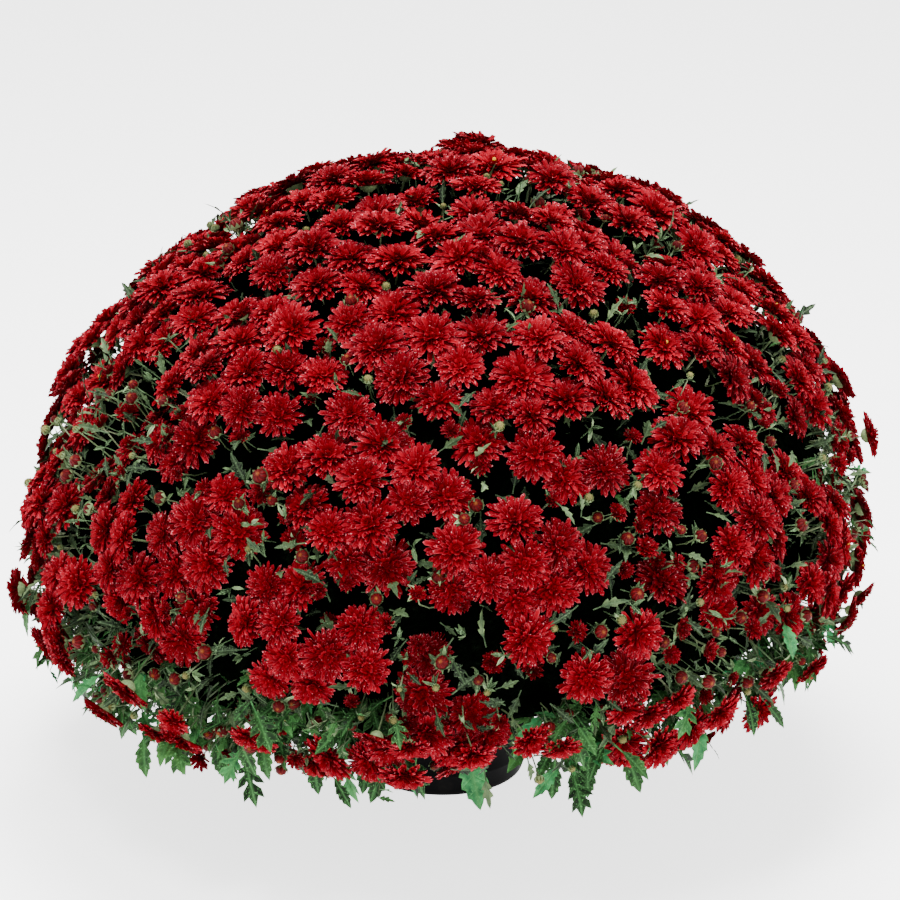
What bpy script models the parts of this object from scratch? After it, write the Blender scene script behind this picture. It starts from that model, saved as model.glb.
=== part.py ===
"""A pot chrysanthemum: a dome of red double flowers over a leafy bush of five plants in one nursery pot.

Units are metres, +Z is up, and the origin is the centre of the pot's base on the surface it stands on.
Every flower is a small star of petals, wide open and low. Flowers that touch share the joint of their
petals, so each spray of flowers is one red body, which rests on the leafy bush just under it.
"""

import math

import bmesh
import bpy
import numpy as np
from mathutils import Vector

# The nursery pot and its soil
POT_HEIGHT = 0.150
POT_BASE_RADIUS = 0.073
POT_TOP_RADIUS = 0.100
POT_WALL = 0.0020
POT_RIM_HEIGHT = 0.014
POT_RIM_OVERHANG = 0.0035
POT_SIDES = 32
SOIL_GAP = 0.0004
SOIL_TOP = 0.134
SOIL_CROWN = 0.006
SOIL_SIDES = 20

# The dome that the flowers' centres lie on
CANOPY_RADIUS = 0.372
CANOPY_RISE = 0.336
CANOPY_DROP = 0.200
EQUATOR_Z = 0.228
CANOPY_LEAN = 0.035
SKIRT_ANGLE = math.radians(121)
SKIRT_START = math.radians(100)

# The flowers
LAYOUT_SEED = 11
FLOWER_COUNT = 560
FLOWER_RADII = (0.0185, 0.0250)
GAP_COUNT = 235
TOP_GAP_SHARE = 0.30
GAP_RADII = (0.008, 0.019)
SKIRT_GAP_SHARE = 0.30
PACKING = 0.93
RELAX_STEPS = 40
DEPTH_SPREAD = 0.0045
TILT_SPREAD = 0.20
FACE_UP = 0.22
PETAL_ANGLE = math.radians(72)
PETAL_NOTCH = 0.64
DOME_HEIGHT = 0.26
CALYX_DEPTH = 0.46
TIP_DROOP = 0.12
JOIN_WIDTH = 0.40
JOIN_DEPTH = 0.24
CLEARANCE = 0.0004
SPRAY_COUNT = 50
SMALLEST_SPRAY = 5
SPRAY_REACH = 0.070
SPRAY_DOME = 0.007
SPRAY_TILT = 0.14
GATHER = 0.20

# The leafy bush: five plants round the pot's axis, each with a woody stem that stands in the soil
PLANT_COUNT = 5
PLANT_GAP = 0.0002
HEART_REACH = 0.14
HEART_Z = 0.29
FOLIAGE_DEPTH = 0.050
SHOOT_SPACING = 1.30
SHOOT_FACING = 0.88
UNDERSIDE_Z = 0.168
STEM_CIRCLE = 0.038
STEM_RADIUS = 0.0060
STEM_SINK = 0.030
HOLE_RADIUS = 0.0075

# The leaves that show under the skirt of flowers, in three rings from the outside in
LEAVES_PER_PLANT = 10
LEAF_RINGS = (0.232, 0.212, 0.185)
LEAF_DROOPS = (0.93, 1.05, 1.20)
STALK_LENGTHS = (0.050, 0.056, 0.060)
LEAF_LENGTH = 0.060
LEAF_WIDTH = 0.85
LEAF_LOBES = 3
LEAF_NOTCH = 0.55
LEAF_ARCH = 0.20
LEAF_RIB = 0.0010
LEAF_SINK = 0.012
STALK_RADIUS = 0.0018

# The closed buds that stand in the widest gaps among the flowers
BUDS_PER_PLANT = 3
BUD_RADIUS = 0.0045
BUD_DEPTH = 0.010
BUD_ROOM = 0.011

PETAL_RED = (0.42, 0.012, 0.022, 1)
LEAF_GREEN = (0.055, 0.135, 0.060, 1)
POT_BLACK = (0.012, 0.012, 0.013, 1)
SOIL_BROWN = (0.055, 0.035, 0.022, 1)


def unit(vectors):
    """The vectors, each of length 1."""
    return vectors / np.linalg.norm(vectors, axis=-1, keepdims=True)


def canopy_point(polar, azimuth):
    """A point of the dome, by its angle from the top and its angle round the pot."""
    height = np.where(np.cos(polar) > 0, CANOPY_RISE, CANOPY_DROP) * np.cos(polar)
    reach = CANOPY_RADIUS * np.sin(polar)
    x = reach * np.cos(azimuth)
    y = reach * np.sin(azimuth)
    return np.stack([x, y, EQUATOR_Z + height + CANOPY_LEAN * x], axis=-1)


def canopy_angles(points):
    """The two angles of the points of the dome nearest to these."""
    height = points[:, 2] - CANOPY_LEAN * points[:, 0] - EQUATOR_Z
    height = height / np.where(height > 0, CANOPY_RISE, CANOPY_DROP)
    reach = np.hypot(points[:, 0], points[:, 1]) / CANOPY_RADIUS
    polar = np.clip(np.arctan2(reach, height), 0, SKIRT_ANGLE)
    return polar, np.arctan2(points[:, 1], points[:, 0])


def canopy_normal(polar, azimuth):
    """The dome's outward normal."""
    rise = np.where(np.cos(polar) > 0, CANOPY_RISE, CANOPY_DROP)
    flat = np.sin(polar) / CANOPY_RADIUS
    out = [flat * np.cos(azimuth), flat * np.sin(azimuth), np.cos(polar) / rise]
    return unit(np.stack(out, axis=-1))


def even_points(count, turn=0.0):
    """Points on the dome, the same area to each, along a spiral with golden steps."""
    polar = np.linspace(0, SKIRT_ANGLE, 2000)
    line = canopy_point(polar, np.zeros_like(polar))
    step = np.linalg.norm(np.diff(line, axis=0), axis=1)
    ring = CANOPY_RADIUS * np.sin(polar)
    area = np.concatenate([[0], np.cumsum(step * (ring[1:] + ring[:-1]) / 2)])
    share = (np.arange(count) + 0.5) / count
    azimuth = np.arange(count) * math.pi * (3 - math.sqrt(5)) + turn
    return canopy_point(np.interp(share * area[-1], area, polar), azimuth)


def relaxed(points, radii):
    """The points pushed apart over the dome until discs of these radii hardly overlap."""
    for _ in range(RELAX_STEPS):
        apart = points[:, None] - points[None]
        distance = np.linalg.norm(apart, axis=-1) + np.eye(len(points))
        short = np.clip((radii[:, None] + radii[None]) * PACKING - distance, 0, None)
        np.fill_diagonal(short, 0)
        points = points + 0.35 * (apart * (short / distance)[..., None]).sum(axis=1)
        points = canopy_point(*canopy_angles(points))
    return points


def lay_out_flowers():
    """Centres, normals and radii of the flowers, and the centres of the gaps among them."""
    draw = np.random.default_rng(LAYOUT_SEED)
    count = FLOWER_COUNT + GAP_COUNT
    points = even_points(count)
    radii = draw.uniform(*FLOWER_RADII, count)
    from_top = np.arange(count) / count
    is_gap = np.zeros(count, bool)
    is_gap[np.argsort(draw.random(count) / (TOP_GAP_SHARE + from_top))[:GAP_COUNT]] = True
    radii[is_gap] = draw.uniform(*GAP_RADII, GAP_COUNT) * (0.45 + from_top[is_gap])
    points = relaxed(points + draw.normal(0, 0.012, (count, 3)), radii)
    polar, azimuth = canopy_angles(points)
    is_gap |= (polar > SKIRT_START) & (draw.random(count) < SKIRT_GAP_SHARE)
    normals = canopy_normal(polar, azimuth)
    centres = points + normals * draw.normal(0, DEPTH_SPREAD, (count, 1)).clip(-0.008, 0.008)
    faces = unit(normals + [0, 0, FACE_UP] + draw.normal(0, TILT_SPREAD, (count, 3)).clip(-0.3, 0.3))
    return centres[~is_gap], faces[~is_gap], radii[~is_gap], centres[is_gap]


def spanning_edges(members, centres):
    """The shortest tree that joins these flowers, as pairs."""
    gaps = np.linalg.norm(centres[:, None] - centres[None], axis=-1)
    joined, left, edges = [members[0]], list(members[1:]), []
    while left:
        near = gaps[np.ix_(joined, left)]
        a, b = np.unravel_index(near.argmin(), near.shape)
        edges.append((joined[a], left[b]))
        joined.append(left.pop(b))
    return edges


def group_sprays(centres, radii):
    """The spray number of each flower. Each spray grows from its first flower to the ones that touch it."""
    hearts = even_points(SPRAY_COUNT, turn=0.5)
    gaps = np.linalg.norm(centres[:, None] - centres[None], axis=-1)
    gaps = gaps / (radii[:, None] + radii[None]) + 99 * np.eye(len(centres))
    first = np.unique(np.linalg.norm(centres[:, None] - hearts[None], axis=-1).argmin(axis=0))
    path = np.full(len(centres), np.inf)
    path[first] = 0
    spray = np.full(len(centres), -1)
    spray[first] = np.arange(len(first))
    waiting = set(range(len(centres)))
    while waiting:
        here = min(waiting, key=lambda flower: path[flower])
        waiting.remove(here)
        longer = path[here] + gaps[here] ** 4
        nearer = longer < path
        path[nearer] = longer[nearer]
        spray[nearer] = spray[here]
    for number in range(len(first)):
        members = np.flatnonzero(spray == number)
        if len(members) < SMALLEST_SPRAY:
            others = np.flatnonzero(spray != number)
            spray[members] = spray[others[gaps[np.ix_(members, others)].min(axis=0).argmin()]]
    return spray


def gathered(centres, faces, spray):
    """The flowers drawn together into domed sprays, most on the plant's sides, with gaps between them."""
    polar, azimuth = canopy_angles(centres)
    normals = canopy_normal(polar, azimuth)
    pull = GATHER * np.clip(polar / (math.pi / 2), 0, 1)[:, None]
    drawn, turned_out = centres.copy(), faces.copy()
    for number in set(spray):
        own = spray == number
        away = centres[own] - centres[own].mean(axis=0)
        far = np.linalg.norm(away, axis=1, keepdims=True) / SPRAY_REACH
        drawn[own] -= away * pull[own] + normals[own] * SPRAY_DOME * far**2
        turned_out[own] = unit(faces[own] + away / SPRAY_REACH * SPRAY_TILT)
    return drawn, turned_out


def cell_walls(centres, radii):
    """For each flower, a point and the outward direction of the wall between it and each neighbour."""
    walls = []
    for i, centre in enumerate(centres):
        away = centres - centre
        distance = np.linalg.norm(away, axis=1)
        near = np.flatnonzero((distance < 0.085) & (distance > 0))
        share = radii[i] / (radii[i] + radii[near])
        out = away[near] / distance[near, None]
        walls.append((near, centre + away[near] * share[:, None], out))
    return walls


def room_along(start, direction, walls, skip=()):
    """How far start can move in this direction before it comes within the clearance of a wall."""
    near, points, out = walls
    keep = ~np.isin(near, skip)
    speed = out[keep] @ direction
    room = ((points[keep] - start) * out[keep]).sum(axis=1) - CLEARANCE
    ahead = speed > 1e-6
    return max(0.0, float((room[ahead] / speed[ahead]).min(initial=1.0)))


def petal_joint(mesh, i, j, flowers, walls):
    """The three corners that flowers i and j share where their petals meet: two on the rim, one below."""
    centres, faces, radii = flowers
    share = radii[i] / (radii[i] + radii[j])
    middle = centres[i] + (centres[j] - centres[i]) * share
    along = unit(centres[j] - centres[i])
    face = unit(faces[i] + faces[j])
    side = unit(np.cross(face, along))
    down = np.cross(side, along)
    width = JOIN_WIDTH * min(radii[i], radii[j])
    corners = []
    for sign in (1, -1):
        room = min(room_along(middle, side * sign, walls[k], (i, j)) for k in (i, j))
        corners.append(mesh.verts.new(middle + side * sign * min(width, room)))
    depth = JOIN_DEPTH * min(radii[i], radii[j])
    corners.append(mesh.verts.new(middle + down * math.copysign(depth, -down @ face)))
    return middle, corners


def flower_ring(mesh, i, joints, flowers, walls):
    """The corners round flower i, in order. A joint's corner comes with the joint's lower corner."""
    centres, faces, radii = flowers
    centre, face, radius = centres[i], faces[i], radii[i]
    across = unit(np.cross(face, [0.36, 0.48, 0.8]))
    other = np.cross(face, across)

    def heading(point):
        return math.atan2((point - centre) @ other, (point - centre) @ across)

    stops = []
    for middle, (first, second, below) in joints:
        turn = heading(middle)
        spans = []
        for corner in (first, second):
            spans.append((heading(np.array(corner.co)) - turn + math.pi) % (2 * math.pi) - math.pi)
        low, high = (first, second) if spans[0] < spans[1] else (second, first)
        stops.append((turn, turn + min(spans), turn + max(spans), low, high, below))
    stops.sort(key=lambda stop: stop[0])
    ring = []
    for number, (_, _, end, low, high, below) in enumerate(stops):
        ring += [(low, below), (high, None)]
        free = (stops[(number + 1) % len(stops)][1] - end) % (2 * math.pi)
        petals = max(1, round(free / PETAL_ANGLE))
        for step in range(1, 2 * petals):
            turn = end + free * step / (2 * petals)
            out = across * math.cos(turn) + other * math.sin(turn)
            is_tip = step % 2 == 1
            out = unit(out - face * (TIP_DROOP if is_tip else 0))
            reach = radius * (1 if is_tip else PETAL_NOTCH)
            reach = min(reach, room_along(centre, out, walls[i]))
            ring.append((mesh.verts.new(centre + out * reach), None))
    return ring


def add_flower(mesh, i, joints, flowers, walls):
    """Flower i: a low fan of petals round its heart above, and a cone down to its calyx below."""
    centres, faces, radii = flowers
    heart = mesh.verts.new(centres[i] + faces[i] * radii[i] * DOME_HEIGHT)
    calyx = mesh.verts.new(centres[i] - faces[i] * radii[i] * CALYX_DEPTH)
    ring = flower_ring(mesh, i, joints, flowers, walls)
    for number, (corner, below) in enumerate(ring):
        after = ring[(number + 1) % len(ring)][0]
        mesh.faces.new([heart, corner, after])
        if below is None:
            mesh.faces.new([calyx, after, corner])
        else:
            mesh.faces.new([calyx, below, corner])
            mesh.faces.new([calyx, after, below])


def finish_object(name, mesh, material, collection):
    """A named object of this mesh in the plant's collection."""
    data = bpy.data.meshes.new(name)
    bmesh.ops.recalc_face_normals(mesh, faces=mesh.faces)
    mesh.to_mesh(data)
    mesh.free()
    data.materials.append(material)
    made = bpy.data.objects.new(name, data)
    collection.objects.link(made)
    return made


def build_sprays(flowers, spray, material, collection):
    """One red object for each spray of flowers."""
    centres, _, radii = flowers
    walls = cell_walls(centres, radii)
    for order, number in enumerate(sorted(set(spray))):
        members = np.flatnonzero(spray == number)
        mesh = bmesh.new()
        joints = {m: [] for m in members}
        for i, j in spanning_edges(members, centres):
            joint = petal_joint(mesh, i, j, flowers, walls)
            joints[i].append(joint)
            joints[j].append(joint)
        for i in members:
            add_flower(mesh, i, joints[i], flowers, walls)
        finish_object(f"flower_spray_{order + 1:02d}", mesh, material, collection)


def plant_heading(number):
    """The direction from the pot's axis to the middle of this plant."""
    return 2 * math.pi * (number + 0.75) / PLANT_COUNT


def shoot_flowers(flowers, spray):
    """The flowers that a shoot rises to: one in each spray, and others that face out and stand apart."""
    centres, faces, radii = flowers
    facing = (faces * unit(centres - [0, 0, HEART_Z])).sum(axis=1)
    gaps = np.linalg.norm(centres[:, None] - centres[None], axis=-1)
    near = gaps < SHOOT_SPACING * (radii[:, None] + radii[None])
    chosen = np.zeros(len(centres), bool)
    for number in set(spray):
        chosen[max(np.flatnonzero(spray == number), key=lambda flower: facing[flower])] = True
    for i in np.flatnonzero(facing > SHOOT_FACING):
        chosen[i] |= not (chosen & near[i]).any()
    return np.flatnonzero(chosen)


def seam_corners(heading, inside):
    """Corners along the two upright seams where a plant's foliage meets its neighbours'."""
    corners = [[0, 0, UNDERSIDE_Z], [0, 0, EQUATOR_Z + CANOPY_RISE - FOLIAGE_DEPTH]]
    for turn in (heading - math.pi / PLANT_COUNT, heading + math.pi / PLANT_COUNT):
        corners.append([0.20 * math.cos(turn), 0.20 * math.sin(turn), UNDERSIDE_Z])
        for polar in np.radians((25, 50, 75, 100)):
            point = canopy_point(polar, turn)
            corners.append(point + unit(inside - point) * FOLIAGE_DEPTH)
    return np.array(corners)


def plant_corners(flowers, shoots, gap_centres, heading, inside):
    """The corners of one plant's foliage: shoots up to some flowers, and hollows under the others."""
    centres, faces, radii = flowers
    corners = np.concatenate([centres, gap_centres])
    corners += unit(inside - corners) * FOLIAGE_DEPTH
    corners[shoots] = (centres - faces * (radii * CALYX_DEPTH + CLEARANCE)[:, None])[shoots]
    out = np.array([math.cos(heading), math.sin(heading)])
    side = np.array([-math.sin(heading), math.cos(heading)])
    half = math.pi / PLANT_COUNT
    own = np.abs(np.arctan2(corners[:, :2] @ side, corners[:, :2] @ out)) < half
    corners = np.concatenate([corners[own], seam_corners(heading, inside)])
    for sign in (1, -1):
        wall = out * math.sin(half) + side * sign * math.cos(half)
        short = PLANT_GAP - corners[:, :2] @ wall
        corners[:, :2] += np.clip(short, 0, None)[:, None] * out / math.sin(half)
    return corners


def foliage_body(corners, inside):
    """One closed body through these corners, which all can be seen from the point inside it."""
    away = corners - inside
    far = np.linalg.norm(away, axis=1)
    mesh = bmesh.new()
    for number, direction in enumerate(unit(away)):
        mesh.verts.new(direction).index = number
    bmesh.ops.convex_hull(mesh, input=mesh.verts)
    bmesh.ops.triangulate(mesh, faces=mesh.faces)
    for corner in mesh.verts:
        corner.co = inside + np.array(corner.co) * far[corner.index]
    return mesh


def leaf_body(length, stalk):
    """A lobed leaf along +X on its stalk, which starts at the origin. The blade arches down to its tip."""
    mesh = bmesh.new()

    def stalk_ring(x, size):
        corners = [(x, size, 0), (x, -size, 0), (x, 0, -1.6 * size)]
        return [mesh.verts.new(corner) for corner in corners]

    def blade_point(share, side):
        lobe = 1 if round(share * 2 * LEAF_LOBES) % 2 else LEAF_NOTCH
        out = side * lobe * LEAF_WIDTH / 2 * length * math.sin(math.pi * share**0.8)
        return (stalk + share * length, out, -LEAF_ARCH * length * share**2)

    root = stalk_ring(0, STALK_RADIUS * 1.2)
    base = stalk_ring(stalk, STALK_RADIUS)
    mesh.faces.new(root)
    for a in range(3):
        mesh.faces.new([root[a], base[a], base[a - 2], root[a - 2]])
    shares = [step / (2 * LEAF_LOBES) for step in range(1, 2 * LEAF_LOBES)]
    left = [mesh.verts.new(blade_point(share, 1)) for share in shares]
    right = [mesh.verts.new(blade_point(share, -1)) for share in reversed(shares)]
    rim = [base[0], *left, mesh.verts.new(blade_point(1, 1)), *right, base[1]]
    for sign in (1, -1):
        x, _, z = blade_point(0.45, 0)
        rib = mesh.verts.new((x, 0, z + sign * LEAF_RIB))
        edge = rim + ([base[2]] if sign < 0 else [])
        for a, corner in enumerate(edge):
            mesh.faces.new([rib, corner, edge[(a + 1) % len(edge)]])
    return mesh


def add_leaves(heading, draw, material, extras):
    """The plant's skirt leaves, each with the root of its stalk sunk in the foliage."""
    half = math.pi / PLANT_COUNT
    for number in range(LEAVES_PER_PLANT):
        turn = heading + half * ((number + 0.5) / LEAVES_PER_PLANT * 2 - 1) * 0.90
        length = LEAF_LENGTH * draw.uniform(0.85, 1.15)
        ring = number % len(LEAF_RINGS)
        leaf = finish_object("leaf", leaf_body(length, STALK_LENGTHS[ring]), material, extras)
        reach = LEAF_RINGS[ring]
        leaf.location = (reach * math.cos(turn), reach * math.sin(turn), UNDERSIDE_Z + LEAF_SINK)
        leaf.rotation_euler = (draw.uniform(-0.35, 0.35), LEAF_DROOPS[ring] + draw.uniform(-0.12, 0.12), turn)


def add_stem(heading, material, extras):
    """The plant's woody stem, from its hole in the soil up into the foliage."""
    low, high = SOIL_TOP - STEM_SINK, UNDERSIDE_Z + 0.02
    mesh = bmesh.new()
    bmesh.ops.create_cone(
        mesh, cap_ends=True, segments=5, radius1=STEM_RADIUS, radius2=STEM_RADIUS, depth=high - low
    )
    stem = finish_object("stem", mesh, material, extras)
    stem.location = (STEM_CIRCLE * math.cos(heading), STEM_CIRCLE * math.sin(heading), (low + high) / 2)


def add_buds(spots, inside, material, extras):
    """Buds on thin stalks that rise from the foliage into gaps among the flowers."""
    for spot in spots:
        out = unit(spot - inside)
        mesh = bmesh.new()
        depth = FOLIAGE_DEPTH - BUD_DEPTH + 0.006
        bmesh.ops.create_cone(
            mesh, cap_ends=True, segments=3, radius1=STALK_RADIUS, radius2=STALK_RADIUS, depth=depth
        )
        stalk = finish_object("bud_stalk", mesh, material, extras)
        stalk.location = spot - out * (BUD_DEPTH + depth / 2)
        stalk.rotation_euler = Vector(out).to_track_quat("Z", "Y").to_euler()
        mesh = bmesh.new()
        bmesh.ops.create_uvsphere(mesh, u_segments=4, v_segments=2, radius=BUD_RADIUS)
        bud = finish_object("bud", mesh, material, extras)
        bud.location = spot - out * BUD_DEPTH
        bud.rotation_euler = stalk.rotation_euler


def join_all(plant, extras):
    """Joins the extras to the plant's foliage by one Boolean union, and removes them."""
    union = plant.modifiers.new("join", "BOOLEAN")
    union.operation = "UNION"
    union.operand_type = "COLLECTION"
    union.collection = extras
    bpy.context.view_layer.update()
    joined = bpy.data.meshes.new_from_object(plant.evaluated_get(bpy.context.evaluated_depsgraph_get()))
    plant.modifiers.clear()
    plant.data = joined
    for extra in list(extras.objects):
        bpy.data.objects.remove(extra)
    bpy.data.collections.remove(extras)


def build_plants(flowers, shoots, gap_centres, material, collection):
    """The leafy bush under the flowers, one object for each of the plants in the pot."""
    draw = np.random.default_rng(LAYOUT_SEED + 1)
    centres, _, radii = flowers
    room = (np.linalg.norm(gap_centres[:, None] - centres[None], axis=-1) - radii).min(axis=1)
    for number in range(PLANT_COUNT):
        heading = plant_heading(number)
        inside = np.array([HEART_REACH * math.cos(heading), HEART_REACH * math.sin(heading), HEART_Z])
        corners = plant_corners(flowers, shoots, gap_centres, heading, inside)
        foliage = foliage_body(corners, inside)
        plant = finish_object(f"plant_{number + 1}_foliage", foliage, material, collection)
        extras = bpy.data.collections.new("extras")
        bpy.context.scene.collection.children.link(extras)
        add_leaves(heading, draw, material, extras)
        add_stem(heading, material, extras)
        own = gap_centres[:, :2] @ [math.cos(heading), math.sin(heading)]
        own = own > 0.9 * np.hypot(gap_centres[:, 0], gap_centres[:, 1])
        add_buds(gap_centres[own & (room > BUD_ROOM)][:BUDS_PER_PLANT], inside, material, extras)
        join_all(plant, extras)


def turned(name, profile, sides, material, collection):
    """A solid of revolution from a profile of radius and height, outer side first from the top."""
    data = bpy.data.meshes.new(name)
    points = [(radius, 0, height) for radius, height in profile]
    data.from_pydata(points, [(a, a + 1) for a in range(len(points) - 1)], [])
    data.materials.append(material)
    made = bpy.data.objects.new(name, data)
    collection.objects.link(made)
    screw = made.modifiers.new("turn", "SCREW")
    screw.steps = screw.render_steps = sides
    screw.use_merge_vertices = True
    screw.merge_threshold = 0.0001
    screw.use_smooth_shade = True
    return made


def build_pot(material, collection):
    """The nursery pot: a thin tapered cup with a rim band, on a flat base."""
    band = POT_HEIGHT - POT_RIM_HEIGHT
    inner = POT_TOP_RADIUS - POT_WALL
    profile = [
        (0, POT_WALL), (POT_BASE_RADIUS - POT_WALL, POT_WALL), (inner, POT_HEIGHT),
        (POT_TOP_RADIUS + POT_RIM_OVERHANG, POT_HEIGHT), (POT_TOP_RADIUS + POT_RIM_OVERHANG, band),
        (POT_TOP_RADIUS - 0.001, band), (POT_BASE_RADIUS, 0), (0, 0),
    ]
    turned("nursery_pot", profile, POT_SIDES, material, collection)


def build_soil(material, collection):
    """The potting soil: it fills the pot and has a plain hole for each woody stem."""
    def wall(height):
        share = (height - POT_WALL) / (POT_HEIGHT - POT_WALL)
        low = POT_BASE_RADIUS - POT_WALL
        return (low + (POT_TOP_RADIUS - POT_WALL - low) * share) * math.cos(math.pi / POT_SIDES) - SOIL_GAP

    bottom = POT_WALL + SOIL_GAP
    profile = [
        (0, SOIL_TOP), (0.060, SOIL_TOP), (wall(SOIL_TOP - SOIL_CROWN), SOIL_TOP - SOIL_CROWN),
        (wall(bottom), bottom), (0, bottom),
    ]
    soil = turned("potting_soil", profile, SOIL_SIDES, material, collection)
    cutters = bpy.data.collections.new("cutters")
    bpy.context.scene.collection.children.link(cutters)
    for number in range(PLANT_COUNT):
        heading = plant_heading(number)
        mesh = bmesh.new()
        depth = STEM_SINK + CLEARANCE
        bmesh.ops.create_cone(
            mesh, cap_ends=True, segments=6, radius1=HOLE_RADIUS, radius2=HOLE_RADIUS, depth=2 * depth
        )
        cutter = finish_object(f"stem_hole_{number + 1}", mesh, material, cutters)
        cutter.location = (STEM_CIRCLE * math.cos(heading), STEM_CIRCLE * math.sin(heading), SOIL_TOP)
        cutter.hide_render = True
        cutter.display_type = "WIRE"
        cut = soil.modifiers.new(f"hole_{number + 1}", "BOOLEAN")
        cut.operation = "DIFFERENCE"
        cut.object = cutter


def material_of(name, colour, roughness):
    """A plain Principled material."""
    made = bpy.data.materials.new(name)
    made.use_nodes = True
    shader = made.node_tree.nodes["Principled BSDF"]
    shader.inputs["Base Color"].default_value = colour
    shader.inputs["Roughness"].default_value = roughness
    shader.inputs["Metallic"].default_value = 0.0
    return made


def main():
    for old in list(bpy.data.objects):
        bpy.data.objects.remove(old)
    collection = bpy.data.collections.new("pot_chrysanthemum")
    bpy.context.scene.collection.children.link(collection)
    build_pot(material_of("pot_plastic", POT_BLACK, 0.45), collection)
    build_soil(material_of("soil", SOIL_BROWN, 0.95), collection)
    centres, faces, radii, gap_centres = lay_out_flowers()
    spray = group_sprays(centres, radii)
    flowers = (*gathered(centres, faces, spray), radii)
    build_sprays(flowers, spray, material_of("petals", PETAL_RED, 0.5), collection)
    shoots = shoot_flowers(flowers, spray)
    build_plants(flowers, shoots, gap_centres, material_of("foliage", LEAF_GREEN, 0.55), collection)


main()
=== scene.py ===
"""The looks of the pot chrysanthemum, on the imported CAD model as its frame."""

import math
from typing import NamedTuple

import bpy
import numpy as np
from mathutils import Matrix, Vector


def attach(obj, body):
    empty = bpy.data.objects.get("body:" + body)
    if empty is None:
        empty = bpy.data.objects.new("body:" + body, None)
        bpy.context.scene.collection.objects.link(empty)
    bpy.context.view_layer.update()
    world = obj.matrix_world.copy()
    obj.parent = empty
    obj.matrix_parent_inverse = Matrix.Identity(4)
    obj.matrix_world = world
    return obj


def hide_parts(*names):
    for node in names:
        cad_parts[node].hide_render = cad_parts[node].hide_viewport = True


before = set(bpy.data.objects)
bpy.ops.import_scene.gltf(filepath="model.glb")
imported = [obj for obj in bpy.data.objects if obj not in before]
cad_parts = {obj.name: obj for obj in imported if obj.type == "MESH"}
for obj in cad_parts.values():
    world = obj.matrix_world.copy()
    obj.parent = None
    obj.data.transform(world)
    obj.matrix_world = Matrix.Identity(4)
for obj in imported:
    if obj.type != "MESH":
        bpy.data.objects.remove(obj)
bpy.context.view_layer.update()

# The layout of the open flowers, the plants and the pot, as the CAD model has it, in metres and radians
CANOPY_RADIUS = 0.372
CANOPY_RISE = 0.336
CANOPY_DROP = 0.200
EQUATOR_Z = 0.228
CANOPY_LEAN = 0.035
SKIRT_ANGLE = math.radians(121)
SKIRT_START = math.radians(100)
LAYOUT_SEED = 11
FLOWER_COUNT = 560
FLOWER_RADII = (0.0185, 0.0250)
GAP_COUNT = 235
TOP_GAP_SHARE = 0.30
GAP_RADII = (0.008, 0.019)
SKIRT_GAP_SHARE = 0.30
PLACE_SPREAD = 0.012
PACKING = 0.93
RELAX_STEPS = 40
RELAX_PUSH = 0.35
DEPTH_SPREAD, DEPTH_LIMIT = 0.0045, 0.008
TILT_SPREAD, TILT_LIMIT = 0.20, 0.3
FACE_UP = 0.22
SPRAY_COUNT = 50
SMALLEST_SPRAY = 5
SPRAY_REACH = 0.070
SPRAY_DOME = 0.007
SPRAY_TILT = 0.14
GATHER = 0.20
PLANT_COUNT = 5
STEM_CIRCLE = 0.038
SOIL_TOP = 0.134
POT_HEIGHT = 0.150
POT_BASE_RADIUS = 0.073
POT_TOP_RADIUS = 0.100
POT_WALL = 0.0020

# What only the looks have
LOOKS_SEED = 5
BLOOM_SIZES = (1.08, 0.97)  # at the top and at the sides, times the layout's radii
BLOOM_SIZE_ANGLES = (0.5, 1.4)
FULLY_OPEN_SHARE = 0.86
EYE_SHARE = 0.03  # open flowers with a yellow eye
EYE_TONE = 0.97
LARGEST_TONE = 0.92  # of a flower without one
PETAL_COUNTS = (27, 25, 23, 19, 14, 10, 7)  # from the outer layer to the heart
FULL_LAYERS = 3
HEART_LAYERS = 2
HALF_OPEN = 0.8
HALF_OPEN_PETALS = 0.60
CALYX_SIDES = 6
BUD_SIDES = 9
TWIGS_PER_SHOOT = 3
SHOOT_LEAVES = ((0.55, 1), (0.64, -1), (0.73, 1), (0.81, -1), (0.89, 1), (0.95, -1))  # place and side
TWIG_LEAVES = (0.45, 0.75, 1.0)
CORE_DEPTHS = (0.027, 0.042)  # below the canopy, at the top and low down
CORE_END = math.radians(112)
HEAD_ZONES = ((0, 96, 400, 0.95), (96, 180, 100, 0.95))  # degrees from the top, number, least room
HEAD_SPACING = 0.0135
HALF_OPEN_SHARE, COLOURED_SHARE = 0.42, 0.76  # of the small heads
HALF_OPEN_RADII = (0.0075, 0.0135)
RED_BUD_RADII, GREEN_BUD_RADII = (0.0038, 0.0062), (0.0026, 0.0042)
TUFT_COUNT = 750
TUFT_ROOM = 0.97
INNER_LEAVES = 420  # to a plant
HUB_DEPTH = 0.066  # from the middle of a spray in to where its stalks meet
POT_WINDOW = math.radians(-85.5)  # where the pot shows
POT_WINDOW_HALF = math.radians(9)
POT_SIDES = 84
SOIL_RINGS, SOIL_SIDES = 17, 56
CRUMB_COUNT = 200
FLOOR_GLOW, WORLD_LIGHT = 2.3, 1.15
CAMERA_DISTANCE, CAMERA_RISE = 3.0, math.radians(20.5)
CAMERA_LENS, CAMERA_SENSOR = 136.3, 36  # millimetres
UP = np.array([0, 0, 1])
FULL_TURN = 2 * math.pi


class Shoots(NamedTuple):
    """One kind of leafy side shoots."""

    count: int
    band: tuple  # degrees from the top
    proud: tuple  # how far out of the canopy they end
    leaves: tuple  # leaf lengths
    heads: float  # share that ends in a bud or a flower
    room: float  # least distance from a flower, in its radii


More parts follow.
